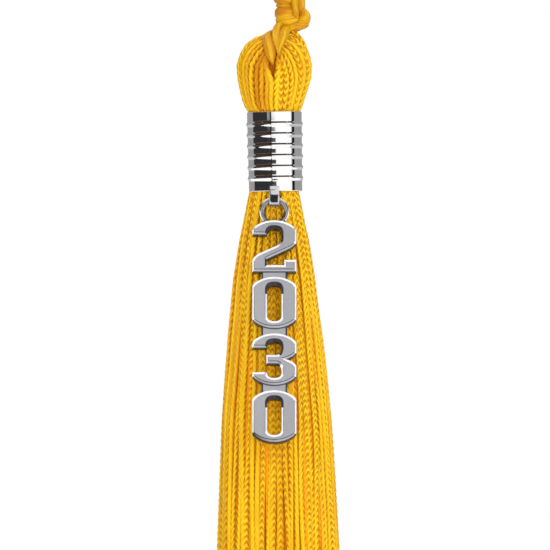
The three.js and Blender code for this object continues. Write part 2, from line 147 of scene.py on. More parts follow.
def joined_tubes(name, tubes):
    """One mesh of closed tubes. A tube is (rings in mm, V of each ring, tone, painted shade of each point).
    """
    corners, faces, uvs, tones, shades = [], [], [], [], []
    first = 0
    for rings, count, tone, shade in tubes:
        steps, sides = rings.shape[:2]
        step, side = np.meshgrid(np.arange(steps - 1), np.arange(sides), indexing="ij")
        step, side = step.ravel(), side.ravel()
        after = (side + 1) % sides
        wall = np.stack([step * sides + side, step * sides + after,
                         (step + 1) * sides + after, (step + 1) * sides + side], axis=1)
        u0, u1 = side / sides, (side + 1) / sides
        v0, v1 = count[step], count[step + 1]
        wall_uv = np.stack([u0, v0, u1, v0, u1, v1, u0, v1], axis=1).reshape(-1, 4, 2)
        k = np.arange(sides // 2 - 1)
        cap = np.stack([k, k + 1, sides - 2 - k, sides - 1 - k], axis=1)
        caps = np.concatenate([cap[:, ::-1], cap + (steps - 1) * sides])
        cap_uv = np.zeros((len(caps), 4, 2))
        corners.append(rings.reshape(-1, 3))
        faces.append(np.concatenate([wall, caps]) + first)
        uvs.append(np.concatenate([wall_uv, cap_uv]))
        tones.append(np.full(len(wall) + len(caps), tone))
        shades.append(np.broadcast_to(shade, (steps, sides)).ravel())
        first += steps * sides
    corners, faces, uvs, tones, shades = map(np.concatenate, (corners, faces, uvs, tones, shades))
    mesh = bpy.data.meshes.new(name)
    mesh.vertices.add(len(corners))
    mesh.vertices.foreach_set("co", (corners * MM).astype(np.float32).ravel())
    mesh.loops.add(faces.size)
    mesh.loops.foreach_set("vertex_index", faces.astype(np.int32).ravel())
    mesh.polygons.add(len(faces))
    mesh.polygons.foreach_set("loop_start", np.arange(0, faces.size, 4, dtype=np.int32))
    mesh.polygons.foreach_set("use_smooth", np.ones(len(faces), bool))
    mesh.update(calc_edges=True)
    layer = mesh.uv_layers.new(name="UVMap")
    layer.uv.foreach_set("vector", uvs.astype(np.float32).ravel())
    for label, domain, values in (("tone", "FACE", tones), ("shade", "POINT", shades)):
        mesh.attributes.new(label, "FLOAT", domain).data.foreach_set("value", values.astype(np.float32))
    mesh.validate()
    print(f"{name}: {2 * len(faces)} triangles")
    return shown(name, mesh)


def shown(name, mesh):
    piece = bpy.data.objects.new(name, mesh)
    bpy.context.collection.objects.link(piece)
    return piece


def from_band(points):
    """Points in mm from the band's upper rim, moved to the row's frame."""
    return np.array(points, float) + np.array([0, 0, BAND_TOP])


print("tube helpers ready")

# %% [markdown]
# The hanging loop is the cord's free part. It is a fixed length of floss, as limp as string, so its route
# is settled first: straight up out of the knot, a narrow loop, over the button and down into the knot
# again. Its points are the ones that the solid has, in millimetres from the inside top of the loop.
# %% Hanging loop
KNOT_TOP = 23.9
KNOT_GAP = 0.3  # the loop starts this far above the knot
LOOP_START = BAND_TOP + KNOT_TOP + KNOT_GAP
LOOP_RADIUS = 5.4
LOOP_STEPS, LOOP_SIDES = 420, 20
LOOP_WAVE = 0.03  # share by which the cord is now wider and now narrower
FLOSS_LAY = 1.2  # mm of cord for each unit of V
LOOP_LEFT = [(1.75, 0, LOOP_START), (1.7, 0, -74.5), (0.8, -0.3, -67), (-0.7, -0.6, -58), (-2.1, -0.7, -48),
             (-3.4, -0.6, -38), (-4.5, -0.5, -28), (-5.1, -0.3, -18), (-5.4, -0.1, -10)]
LOOP_RIGHT = [(5.5, 0.1, -10), (5.6, 0.3, -18), (5.5, 0.5, -28), (5.3, 0.6, -38), (4.9, 0.7, -48),
              (4.6, 0.6, -58), (4.4, 0.3, -67), (4.3, 0, -74.5), (4.3, 0, LOOP_START)]
over = [(LOOP_RADIUS * math.cos(a), 0, CORD / 2 - LOOP_RADIUS + LOOP_RADIUS * math.sin(a))
        for a in np.radians(np.arange(180, -1, -30))]
loop_line = smooth_line(LOOP_LEFT + over + LOOP_RIGHT, LOOP_STEPS)
loop_side = np.tile([0.0, -1.0, 0.0], (LOOP_STEPS, 1))
loop_width = CORD / 2 * (1 + LOOP_WAVE * np.sin(np.arange(LOOP_STEPS) * 0.21))
loop_rings = rings_along(loop_line, loop_side, loop_width, CORD / 2, LOOP_SIDES)
loop_v = np.linspace(0, length_of(loop_line) / FLOSS_LAY, LOOP_STEPS)
hanging_cord = joined_tubes("hanging_cord", [(loop_rings, loop_v, 0.4, 0.0)])
print(f"loop of cord: {length_of(loop_line):.1f} mm long")

# %% [markdown]
# The knot and its two legs are the same cord pulled tight. Floss has no stitches: it is a bundle of
# parallel filaments, so under tension it flattens where it turns and comes to a point where it dives into
# the yarn. Each run is a tube on the solid's route, and its width and depth change from point to point.
# %% Knot and legs
# Columns: x, y, height, half width, half depth
LEFT_LEG = [
    (1.75, 0, 23.9, 1.15, 1.15), (1.75, 0, 22.2, 1.15, 1.15), (1.7, 0.2, 20, 1.1, 1.1),
    (1.7, -0.2, 18.2, 0.9, 0.9), (1.6, -0.2, 16.9, 0.6, 0.6), (1, -0.3, 15.9, 0.5, 0.5),
    (0.2, -0.7, 15.2, 0.65, 0.6), (-0.65, -1.5, 14.75, 0.85, 0.7), (-1.2, -2.8, 14.25, 1, 0.75),
    (-1.25, -4, 13.5, 1.1, 0.8), (-1.05, -4.9, 12.6, 1.15, 0.85), (-0.85, -5.6, 11.6, 1.15, 0.85),
    (-0.65, -6, 10.6, 0.95, 0.8), (-0.5, -5.95, 9.8, 0.6, 0.6), (-0.35, -5.2, 9.1, 0.4, 0.45),
    (-0.5, -2.5, 8.6, 0.9, 0.9),
    (-0.6, 0, 8.2, 1, 1), (-0.7, 2.5, 8.4, 0.9, 0.9), (-0.9, 4.8, 9, 0.6, 0.6),
    (-0.7, 5.8, 10, 0.9, 0.7), (-0.5, 5.7, 11.6, 1.2, 0.85), (-0.1, 4.7, 13.4, 1, 0.85),
    (0.7, 3, 15, 0.9, 0.85), (1.4, 1.6, 16.4, 0.8, 0.9), (1.8, 0.8, 17.8, 0.85, 0.9),
]
RIGHT_LEG = [
    (4.3, 0, 23.9, 1.15, 1.15), (4.6, 0.1, 22.3, 1.1, 1.1), (4.85, 0.1, 20.9, 0.92, 1),
    (4.9, 0.1, 19.9, 0.85, 0.95), (4.95, 0.1, 19.35, 0.85, 0.9), (5.6, 0, 18.7, 1.1, 1),
    (5.75, -0.2, 18, 1.15, 1.1), (5.35, -0.5, 17.05, 1.35, 1.1),
    (4.5, -0.8, 16.35, 1.1, 1), (3.5, -0.9, 16.1, 0.95, 0.9), (2.7, -1.3, 15.9, 0.9, 0.8),
    (2.2, -2.4, 15.5, 0.85, 0.75), (1.85, -3.7, 14.8, 0.85, 0.7), (1.5, -4.6, 13.7, 0.75, 0.65),
    (1.15, -5.4, 12.6, 0.6, 0.6), (0.9, -5.9, 11.6, 0.4, 0.45), (0.85, -5.2, 10.9, 0.4, 0.45),
    (1, -2.5, 10.2, 0.9, 0.9), (1.1, 0, 10, 1, 1), (1.2, 2.5, 10.2, 0.9, 0.9),
    (1.1, 4.9, 10.8, 0.6, 0.6), (1.1, 5.7, 11.8, 0.9, 0.7), (1.2, 5, 13.6, 1.15, 0.85),
    (1.9, 3.2, 15.6, 1.1, 0.9), (2.9, 1.2, 17.4, 1, 1),
]
# The cord is pulled over itself at the front, and the fold's other half lies beside the right leg
FOLD = [
    (2.2, -0.4, 17.6, 0.8, 0.8), (1.5, -0.9, 16.8, 0.85, 0.8), (0.7, -1.9, 15.9, 0.85, 0.75),
    (0.35, -3.3, 14.9, 0.85, 0.7), (0.4, -4.5, 13.8, 0.8, 0.65), (0.5, -5.3, 12.7, 0.65, 0.6),
    (0.65, -5.9, 11.7, 0.42, 0.45), (0.75, -5.3, 10.9, 0.4, 0.4), (0.9, -3, 10.4, 0.6, 0.6),
]
UPRIGHT = [
    (3.4, 0.2, 24, 0.75, 0.7), (3.65, -1.3, 22.9, 0.7, 0.6), (3.85, -2.1, 21.3, 0.68, 0.55),
    (3.9, -2.35, 19.9, 0.68, 0.55), (4, -2.1, 18.8, 0.75, 0.6), (4, -1.2, 17.9, 0.8, 0.7),
]
# Columns: x and height of the ring's middle, radius, degrees of lean, half width at left, front and right,
# half depth, and how strong the painted shade on its shaded half is: the upper one where positive, the lower
# one where negative
WRAPS = [
    (2.1, 21.7, 1.55, 3, 1.1, 1.5, 1.2, 0.8, -1.0),
    (2.3, 20.15, 1.5, 3, 0.4, 0.42, 0.4, 0.5, 0.0),
    (2.35, 18.75, 1.45, -2, 1.2, 1.3, 0.9, 0.85, 1.0),
    (2.6, 17.6, 1.5, -9, 0.9, 1.15, 0.8, 0.9, 0.2),
]
WRAPS_FORWARD = 0.25  # mm from the axis to the middle of the wraps
RUN_STEPS, WRAP_STEPS, FLOSS_SIDES = 120, 97, 32
FLOSS_BUNDLES = [(3, 0.035), (5, 0.04), (8, 0.03), (12, 0.018)]  # how many round the cord, and their relief
HEAD_MIDDLE = [(1.2, 0, 12.0)]  # the runs face away from here
TURNED_SHADE = 0.55  # how much painted shade a point gets where it is turned sideways
WRAP_RELIEF = 0.6  # the wraps are pulled tighter, so their bundles stand out less
floss_rng = np.random.default_rng(7)


def floss_relief(steps):
    """Bundles of filaments that drift slowly round the cord as they run along it."""
    around = 2 * np.pi * (np.arange(FLOSS_SIDES) / FLOSS_SIDES)[None]
    along = np.linspace(0, 2 * np.pi, steps)[:, None]
    relief = np.zeros((steps, FLOSS_SIDES))
    for bundles, size in FLOSS_BUNDLES:
        a, b, c = floss_rng.uniform(0, 2 * np.pi, 3)
        drift = 1.4 * np.sin(along + b) + 0.8 * np.sin(2.3 * along + c)
        relief += size * np.cos(bundles * around + a + drift)
    return relief


def floss_run(rows, tone, painted_dimming):
    route = smooth_line(rows, RUN_STEPS)
    line = from_band(route[:, :3])
    outward = unit(line - from_band(HEAD_MIDDLE))
    rings = rings_along(line, outward, route[:, 3], route[:, 4], FLOSS_SIDES, relief=floss_relief(RUN_STEPS))
    # Painted shade: more where a point turns sideways, plus the run's own dimming.
    shade = turned_in(rings, line, outward) * TURNED_SHADE + painted_dimming
    return rings, np.linspace(0, length_of(line) / FLOSS_LAY, RUN_STEPS), tone, shade


def floss_wrap(wrap, tone):
    x, height, radius, degrees, left, front, right, half_depth, dark = wrap
    angle = np.linspace(0, 2 * np.pi, WRAP_STEPS) + np.pi / 2
    lean = math.radians(degrees)
    flat = np.stack([np.cos(angle), np.sin(angle)], axis=1) * radius
    ring = np.stack([flat[:, 0] * math.cos(lean), flat[:, 1], -flat[:, 0] * math.sin(lean)], axis=1)
    outward = unit(ring)
    line = from_band(ring + [x, -WRAPS_FORWARD, height])
    half_width = front + (np.where(np.cos(angle) < 0, left, right) - front) * np.cos(angle) ** 2
    relief = floss_relief(WRAP_STEPS) * WRAP_RELIEF
    relief[-1] = relief[0]
    rings = rings_along(line, outward, half_width, half_depth, FLOSS_SIDES, relief=relief)
    upward = (rings[..., 2] - line[:, None, 2]) / front
    aside = (rings[..., 0] - x) / (radius + half_depth)
    # Painted shade on the left part of a wrap, and on its upper or lower half.
    painted_side_shade = np.clip(0.75 - 0.9 * aside, 0, 1) * np.clip(0.9 + 1.2 * np.sign(dark) * upward, 0, 1)
    shade = turned_in(rings, line, outward) * TURNED_SHADE + abs(dark) * painted_side_shade
    return rings, np.linspace(0, 8, WRAP_STEPS), tone, shade


# A run's tone, and the painted shade that it gets all over
knot_tubes = [floss_run(*run) for run in
              ((LEFT_LEG, 0.45, 0.4), (RIGHT_LEG, 0.3, 0.0), (FOLD, 0.35, 0.15), (UPRIGHT, 0.2, 0.0))]
knot_tubes += [floss_wrap(wrap, 0.2 + 0.2 * i) for i, wrap in enumerate(WRAPS)]
floss_knot = joined_tubes("floss_knot", knot_tubes)

# %% [markdown]
# Yarn comes next. Its outline is a table of sections, as a turner would write one: height, half width, half
# depth and how far the middle stands to the right. Any height in between is read off the table.
# %% Outline of the yarn
# Columns: height from the band's upper rim, half width, half depth, shift to the right
OUTLINE = np.array([
    (15.1, 0.4, 0.3, 0.5), (14.9, 2.2, 1.9, 0.5), (14.2, 4.1, 3.5, 0.4), (13, 5.5, 4.7, 0.2),
    (11.2, 6.5, 5.6, 0.1), (9, 7.1, 6.1, 0), (6.6, 7, 6.1, 0), (4.3, 6.5, 5.8, -0.1),
    (2, 5.8, 5.4, -0.2), (0.9, 5.4, 5.15, -0.15), (0.3, 5.12, 5, -0.1), (0, 4.65, 4.6, -0.05),
    (-0.8, 4.5, 4.5, 0), (-14.3, 4.5, 4.5, 0), (-15.1, 4.6, 4.5, 0), (-15.7, 4.85, 4.4, 0),
    (-20.5, 5.8, 4.4, 0), (-25, 6.8, 5.15, 0.05), (-31.9, 7.9, 6.3, 0.1), (-43.3, 9.15, 7.9, 0.25),
    (-58.5, 10.5, 9.4, 0.45), (-83, 11.65, 10.6, 0.7), (-130, 12.3, 11.3, 0.75),
    (-220, 12.9, 11.9, 0.8),
])[::-1]


def outline_at(heights):
    return [np.interp(heights, OUTLINE[:, 0], OUTLINE[:, i]) for i in (1, 2, 3)]


STITCH = 1.28  # mm, length of one chain stitch
STRAND_WIDTH = 1.25  # mm, a strand that nothing squeezes
STRAND_FLAT = 0.86  # a strand's depth for each part of its width
SLANT = 1.3  # stitches that a stitch's bulge climbs from the front to the back
FINE_SLANT = 1.6  # and its filaments
STITCH_RELIEF = 0.11  # share of a strand's radius that a stitch stands out
GROOVE = 0.08  # depth of the line between a chain's two columns
rng = np.random.default_rng(2030)


def chain_relief(sides, stitches):
    """How far each point stands out: two columns of slanted stitches that meet in a groove."""
    apart = np.abs(np.arange(sides) / sides - 0.5) * 2
    phase = stitches[:, None] - SLANT * apart
    plump = 0.6 + 0.4 * np.exp(-(apart / 0.32) ** 2)
    return STITCH_RELIEF * plump * np.cos(2 * np.pi * phase) - GROOVE * np.exp(-(apart / 0.14) ** 2)


def chain_strand(line, outward, width, twist, tone, make, sunk_and_shade=0.0):
    """One strand of chainette on a line in mm from the band's rim, made as finely as its table says."""
    sides, step = make["sides"], make["step"]
    stitch_length = STITCH * (0.93 + 0.14 * tone)
    count = max(8, int(round(length_of(line) / (step * stitch_length))) + 1)
    width, twist = [np.broadcast_to(value, (len(line),))[:, None] for value in (width, twist)]
    data = evenly(np.hstack([line, outward, width, twist]), count)
    along = np.arange(count) * step + round(40 * tone) / 4
    shape = chain_relief(sides, along) if make["relief"] else None
    middle_line, faced, half, turns = from_band(data[:, :3]), data[:, 3:6], data[:, 6] / 2, data[:, 7]
    rings = rings_along(middle_line, faced, half, half * STRAND_FLAT, sides, turns, shape)
    steps = len(line)
    # Painted shade for each point: the strand's own extra shade, and more where a point turns away from the
    # open.
    painted_shade = np.interp(np.linspace(0, 1, count), np.linspace(0, 1, steps), np.broadcast_to(sunk_and_shade, steps))
    return rings, along, tone, turned_in(rings, middle_line, faced) + painted_shade[:, None]


print(f"outline of {len(OUTLINE)} sections, stitches of {STITCH} mm")

# %% [markdown]
# The head is the fold of the skein. Every strand comes up out of the band, bulges with the others and dives
# under the cord, so each one ends level and sideways: low for the strands in the middle of the front, at
# the very top for the ones at the sides. Two families of lines are mixed for that: strands near the middle
# keep to their own meridian and turn late, and strands near the side stay in one upright plane.
# %% Head
HEAD_STRANDS = 20  # in each half, from the middle of the front to the middle of the back
HEAD_MAKE = {"sides": 12, "step": 0.2, "relief": True}  # a tube's sides, its rings' step in stitches
LOW_END, HIGH_END = 9.6, 15.3  # mm, where middle and side strands dive under the cord
HEAD_FOOT = -0.9  # strands start this far inside the band
NECK_HALF = 4.6  # mm, half width of the fold where it leaves the band
BULGE_HEIGHT = 6.5  # mm, about where the head is widest
PARTING, PARTED_OVER = 5.4, 3.4  # mm, where the middle strands begin to part, and over what height
HEAD_INSET = 0.48  # mm from the outline to a strand's middle line
LINE_STEPS = 60
# Three loose strands run over the right shoulder, beside the cord
LOOSE_STRANDS = [
    [(2.3, -0.9, 16.0), (3.3, -0.9, 15.45), (4.1, -0.9, 14.75), (4.9, -0.9, 13.85), (5.6, -0.9, 12.6),
     (5.9, -0.9, 11.2)],
    [(1.8, -0.2, 15.3), (3.0, -0.2, 15.0), (4.0, -0.2, 14.3), (4.8, -0.2, 13.4), (5.6, -0.2, 12.0)],
    [(1.8, -1.2, 14.9), (3.0, -1.4, 14.4), (3.9, -1.6, 13.7), (4.7, -1.8, 12.7), (5.4, -1.9, 11.4)],
]


def head_line(share, left, front):
    """share goes from 0 at the side to 1 at the middle of the front or of the back."""
    start = math.radians(90 * share)
    end = HIGH_END + (LOW_END - HIGH_END) * share ** 1.6
    rise = np.sin(np.linspace(0, np.pi / 2, LINE_STEPS)) ** 0.9
    height = HEAD_FOOT + (end - HEAD_FOOT) * rise
    width, depth, shift = outline_at(height)
    risen = np.clip(height / end, 0, 1)
    turned = start + (np.pi / 2 - start) * risen ** 2.6
    neck, top = NECK_HALF * math.sin(start), float(outline_at(end)[1])
    plane = np.arcsin(np.clip((neck + (top - neck) * risen) / depth, -1, 1))
    mix = np.clip((share - 0.35) / 0.5, 0, 1)
    angle = turned * mix + plane * (1 - mix)
    side = -1 if left else 1
    x = shift + side * width * np.cos(angle)
    y = (-1 if front else 1) * depth * np.sin(angle)
    outward = unit(np.stack([x - shift, y, (height - BULGE_HEIGHT) * 0.8], axis=1))
    opening = np.clip((height - PARTING) / PARTED_OVER, 0, 1)
    parted = (1.15 * side * share ** 6 - 0.5 * share ** 2 * front) * opening
    under_cord = (0.7 if front else 0.4) * side * risen ** 6
    return np.stack([x + parted + under_cord * share, y, height], axis=1), outward


head_tubes = []
for left in (True, False):
    for front in (True, False):
        for i in range(HEAD_STRANDS // 2 + 1):
            share = 1 - (i + 0.55) / (HEAD_STRANDS / 2 + 0.6)
            line, outward = head_line(share, left, front)
            risen = np.linspace(0, 1, LINE_STEPS)
            low = rng.uniform(0, 0.16) + 0.08 * (i % 2)
            inset = HEAD_INSET + low * np.clip(risen * 5, 0, 1)
            line = line - outward * inset[:, None]
            bulge = 0.32 * np.sin(np.pi * np.clip(risen * 1.1, 0, 1)) - 0.12 * risen
            width = 1.0 + bulge + rng.uniform(-0.12, 0.14)
            twist = rng.uniform(-2.6, 2.6) + rng.uniform(-0.7, 0.7) * risen
            # Painted shade where the strands dive under the cord.
            under_cord = np.clip((risen - 0.72) / 0.25, 0, 1) * share ** 1.5
            # Painted shade: strands that lie lower are darker, and the left side gets more shade than the
            # right.
            sunk_and_shade = (3.8 * low + 0.28 if left else 1.8 * low) + 0.9 * under_cord
            # Painted light and shade: the left side's strands may take the amber tone, and the right side's
            # stay yellower.
            tone = rng.random() * (1.0 if left else 0.55)
            head_tubes.append(chain_strand(line, outward, width, twist, tone, HEAD_MAKE, sunk_and_shade))
for points in LOOSE_STRANDS:
    line = smooth_line(points, LINE_STEPS)
    outward = unit(line - [0.5, 3.0, 8.0])
    head_tubes.append(chain_strand(line, outward, 1.0, 0.6, rng.random(), HEAD_MAKE))
head_yarn = joined_tubes("head_yarn", head_tubes)
print(f"head: {len(head_tubes)} strands")

# %% [markdown]
# The skirt hangs from the band. Only about half of its strands find room at the band's narrow rim, so every
# second one starts deeper and comes to the surface lower down, where the bundle is wider. Real yarn never
# hangs quite straight: each strand wanders a little to the side and in and out, and its chain turns slowly,
# which shows now its V of stitches and now its plain edge. The strands behind are made with fewer faces.
# %% Skirt
SKIRT_TOP = -14.6
SKIRT_END = -213.8
FINE_END = -50  # the narrow upper part is drawn in closer steps
CROWD_END, CROWD_RISE = -48, 32  # mm, strands crowd each other above this height, and fully so much higher
UNEVEN = 3.0  # mm by which the strand ends differ
INNER_WIDTH = 1.45  # mm, the strands behind are thicker, so that no gap is open
# A ring of strands: how many, how deep under the surface, sides and step of its tubes, and stitch relief
RINGS = [
    {"count": 62, "deep": 0.0, "reach": 1.0, "sides": 8, "step": 0.25, "relief": True},
    {"count": 54, "deep": 0.65, "reach": 1.0, "sides": 6, "step": 1.6, "relief": False},
    {"count": 24, "deep": 0.0, "reach": 0.66, "sides": 6, "step": 2.0, "relief": False},
    {"count": 12, "deep": 0.0, "reach": 0.36, "sides": 6, "step": 2.0, "relief": False},
]
HOOK_HALF = 1.3  # mm, half width of the room that the hook's strip takes
HOOK_FOOT, HOOK_ROOM = -19.5, 0.75  # mm, where that room ends, and how far the strands give way there


def slow_wave(heights, size, length):
    """A smooth wander: two sines of different length with a random start."""
    a, b = rng.uniform(0, 2 * np.pi, 2)
    return size * (0.6 * np.sin(heights / length + a) + 0.4 * np.sin(heights / (length * 0.37) + b))


def skirt_strand(ring, index):
    end = SKIRT_END + rng.uniform(0, UNEVEN)
    height = np.concatenate([np.linspace(SKIRT_TOP, FINE_END, 40), np.linspace(FINE_END - 2, end, 60)])
    width, depth, shift = outline_at(height)
    steady = 1.0 if ring["relief"] else 0.3
    spot = (index + steady * rng.uniform(-0.14, 0.14)) / ring["count"]
    angle = spot * 2 * np.pi + slow_wave(height, 0.34 * steady, 17) * 2 * np.pi / ring["count"]
    pitch = np.pi * (width + depth) * ring["reach"] / ring["count"]
    crowded = np.clip((height - CROWD_END) / CROWD_RISE, 0, 1) ** 1.2
    if ring["relief"]:
        late = 0.95 * crowded * (index % 2)
        thick = np.minimum(STRAND_WIDTH, np.maximum(1.05, pitch * 1.1)) * rng.uniform(0.86, 1.17)
        sunk_and_shade = np.clip(slow_wave(height, 0.55, 24) + rng.uniform(-0.15, 0.2), 0, 0.7)
        inset = thick * 0.43 + late + sunk_and_shade * (1 - crowded)
        # Painted shade on strands that start deeper or lie sunk.
        painted_shade = 0.6 * late + 0.5 * sunk_and_shade * (1 - crowded)
    else:
        thick = np.full(len(height), INNER_WIDTH)
        inset = 0.6 + ring["deep"] + 0.5 * crowded
        # The strands behind get an even painted shade.
        painted_shade = np.full(len(height), 0.5)
    outward = np.stack([np.cos(angle), np.sin(angle), np.zeros(len(height))], axis=1)
    x = shift + (width - inset) * ring["reach"] * np.cos(angle)
    y = (depth - inset) * ring["reach"] * np.sin(angle)
    at_hook = np.exp(-(x / HOOK_HALF) ** 4) * np.clip((height - HOOK_FOOT) / 2, 0, 1) * (y < 0)
    y = y + at_hook * HOOK_ROOM
    twist = rng.uniform(-np.pi, np.pi) * 0.55 + slow_wave(height, 1.0, 33)
    line = np.stack([x, y, height], axis=1)
    # Painted light and shade: strands at the right lean to the yellow tone, and those at the left lean to
    # amber.
    tone = min(max(rng.random() - 0.18 * math.cos(2 * np.pi * spot), 0.0), 1.0)
    return chain_strand(line, outward, thick, twist, tone, ring, painted_shade)


skirt_pieces = []
outer = [skirt_strand(RINGS[0], i) for i in range(RINGS[0]["count"])]
for quarter in range(4):
    first, last = [len(outer) * n // 4 for n in (quarter, quarter + 1)]
    skirt_pieces.append(joined_tubes(f"skirt_yarn_{quarter + 1}", outer[first:last]))
inner = [skirt_strand(ring, i) for ring in RINGS[1:] for i in range(ring["count"])]
skirt_pieces.append(joined_tubes("skirt_yarn_inner", inner))
print(f"skirt: {len(outer)} strands outside and {len(inner)} behind them")

# %% [markdown]
# Behind the strands of the head lies more of the same yarn. Nobody sees its strands, only that the gaps
# aren't empty, so one turned body stands for it. A profile is spun round the upright axis and then pressed
# a little flatter from front to back, as the outline is.
# %% Core of the head and the neck
CORE_INSET = 1.0
CORE_STEPS = 48
CORE_HEIGHTS = np.array([13.6, 13.2, 12.5, 11.2, 9, 6.6, 4.3, 2, 0.6, -0.6, -2, -13.5, -15, -17, -20, -21])


def close_up(bm):
    """Merges the points that meet and turns every face outward."""
    bmesh.ops.remove_doubles(bm, verts=bm.verts[:], dist=1e-7)
    bmesh.ops.recalc_face_normals(bm, faces=bm.faces[:])


def spin_profile(profile, steps):
    """Points (radius, height) in metres, spun once round the Z axis and closed at the poles."""
    bm = bmesh.new()
    corners = [bm.verts.new((radius, 0, height)) for radius, height in profile]
    edges = [bm.edges.new(pair) for pair in zip(corners, corners[1:])]
    bmesh.ops.spin(bm, geom=corners + edges, cent=(0, 0, 0), axis=(0, 0, 1), angle=2 * math.pi,
                   steps=steps, use_merge=True)
    close_up(bm)
    return bm


def finished(name, bm):
    mesh = bpy.data.meshes.new(name)
    bm.to_mesh(mesh)
    bm.free()
    mesh.shade_smooth()
    print(f"{name}: {len(mesh.polygons)} faces")
    return shown(name, mesh)


core_width = np.maximum(outline_at(CORE_HEIGHTS)[0] - CORE_INSET, 0)
core_width[[0, -1]] = 0
core_bm = spin_profile(list(zip(core_width * MM, CORE_HEIGHTS * MM)), CORE_STEPS)
for vert in core_bm.verts:
    width, depth, shift = (float(v) for v in outline_at(vert.co.z / MM))
    vert.co.y *= max(depth - CORE_INSET, 0.1) / max(width - CORE_INSET, 0.1)
    vert.co.x += shift * MM
bmesh.ops.translate(core_bm, verts=core_bm.verts[:], vec=(0, 0, BAND_TOP * MM))
yarn_core = finished("yarn_core", core_bm)

# %% [markdown]
# The band is a strip of brass with six pressed ribs, bent to a tube and plated. A spun profile gives it
# exactly: flat collars between round ribs, a rolled rim at both ends and the inside wall. It has many
# steps, because a mirror finish shows every facet. The real one sits one degree askew, and so does this.
# %% Band
BAND_WALL, RIB_COUNT, RIB_PITCH, RIB_WIDTH, RIB_HEIGHT, FIRST_RIB = 0.37, 6, 2.05, 1.2, 0.2, 2.35
RIM_ROUND = 0.08
BAND_TAPER = 0.03  # share by which the upper rim is wider than the lower one
BAND_STEPS, RIB_STEPS = 144, 15
EDGE_LOOP = 0.04  # mm, an extra loop this near a bend keeps the flat beside it flat


def band_profile():
    inside, foot, beside = BAND_RADIUS - BAND_WALL, -BAND_LENGTH, 1 + 2 * EDGE_LOOP / RIB_WIDTH
    points = [(inside + RIM_ROUND, 0), (BAND_RADIUS - RIM_ROUND, 0), (BAND_RADIUS, -RIM_ROUND),
              (BAND_RADIUS, -RIM_ROUND - EDGE_LOOP)]
    for rib in range(RIB_COUNT):
        middle = -(FIRST_RIB + rib * RIB_PITCH)
        for t in [-beside, *np.linspace(-1, 1, RIB_STEPS), beside]:
            swell = RIB_HEIGHT * (0.5 + 0.5 * math.cos(math.pi * min(max(t, -1), 1)))
            points.append((BAND_RADIUS + swell, middle - t * RIB_WIDTH / 2))
    points += [(BAND_RADIUS, foot + RIM_ROUND + EDGE_LOOP), (BAND_RADIUS, foot + RIM_ROUND),
               (BAND_RADIUS - RIM_ROUND, foot), (inside + RIM_ROUND, foot), (inside, foot + RIM_ROUND),
               (inside, -RIM_ROUND)]
    return [(radius * (1 + BAND_TAPER * (0.5 + height / BAND_LENGTH)) * MM, height * MM)
            for radius, height in points + points[:1]]


band_bm = spin_profile(band_profile(), BAND_STEPS)
band_place = Matrix.Translation((0, 0, BAND_TOP * MM)) @ Matrix.Rotation(-BAND_LEAN, 4, "Y")
bmesh.ops.transform(band_bm, verts=band_bm.verts[:], matrix=band_place)
polished_band = finished("polished_band", band_bm)

# %% [markdown]
# The hook is a strip of sheet. Its side view, a J, is drawn as one face, pulled out to the strip's width
# and bevelled along all its edges, the way a tumbled stamping looks.
# %% Hook
PIVOT = Vector((0, -5.3, BAND_TOP - 16.73))
HOOK_WIDTH, HOOK_THICKNESS, HOOK_BEND, HOOK_TIP, HOOK_ROOT = 1.9, 0.38, 0.95, 2.6, 7.2
HOOK_EASE = 1.9  # mm above the pivot, where the curl begins
HOOK_BEVEL = 0.07
SHARP = 0.6  # radians between two faces, past which their edge is bevelled


def hook_side():
    """Side view from behind the tip round to the root, as (y, z) from the curl's middle."""
    inner, outer = HOOK_BEND, HOOK_BEND + HOOK_THICKNESS
    inside, outside = [[(side * radius * math.cos(a), HOOK_EASE - (radius + HOOK_EASE) * math.sin(a))
                        for a in np.linspace(0, math.pi, 33)] for side, radius in ((1, inner), (-1, outer))]
    tip = [(-inner, HOOK_TIP), (-outer, HOOK_TIP)]
    return [(inner, HOOK_ROOT)] + inside + tip + outside + [(outer, HOOK_ROOT)]


def round_edges(bm, edges, width, segments):
    bmesh.ops.bevel(bm, geom=edges, offset=width * MM, offset_type="OFFSET", segments=segments,
                    profile=0.5, affect="EDGES", material=-1)


hook_bm = bmesh.new()
corners = [(-HOOK_WIDTH / 2 * MM, (PIVOT.y + y) * MM, (PIVOT.z + z) * MM) for y, z in hook_side()]
side_face = hook_bm.faces.new([hook_bm.verts.new(corner) for corner in corners])
pulled = bmesh.ops.extrude_face_region(hook_bm, geom=[side_face])
pulled_verts = [part for part in pulled["geom"] if isinstance(part, bmesh.types.BMVert)]
bmesh.ops.translate(hook_bm, verts=pulled_verts, vec=(HOOK_WIDTH * MM, 0, 0))
close_up(hook_bm)
round_edges(hook_bm, [edge for edge in hook_bm.edges if edge.calc_face_angle(0) > SHARP], HOOK_BEVEL, 3)
polished_hook = finished("polished_hook", hook_bm)

# %% [markdown]
# The charm is one casting: an eye, four plain block numerals and three links. A curve is the natural tool
# for numerals: it keeps the counter of a 0 open and has its own extrusion and bevel. The outlines are drawn
# once for a numeral's own middle and used for every place it stands in. What two numerals share is drawn
# once too.
# %% Charm outlines
CHARM_LEAN = math.radians(10)
CHARM_DEPTH, CHARM_BEVEL = 2.4, 0.4
CHAMFER_DROP = 0.6  # depth of a chamfer for each part of its width
EYE_RADIUS, EYE_WIRE, EYE_FACE = 2.33, 0.475, 0.45
FIRST_NUMERAL, NUMERAL_PITCH, NUMERAL_HEIGHT, HALF = 4.14, 10.83, 10.0, 4.15
TOP, SHOULDER, COUNTER, COUNTER_TOP, COUNTER_SHOULDER, SERIF = 5.0, 2.95, 1.36, 3.35, 2.5, 2.1
COUNTER_FOOT = 3.5  # a counter reaches a little further down than up
DARK_END = 1.7  # a counter's sides get the walls' painted shade above this height
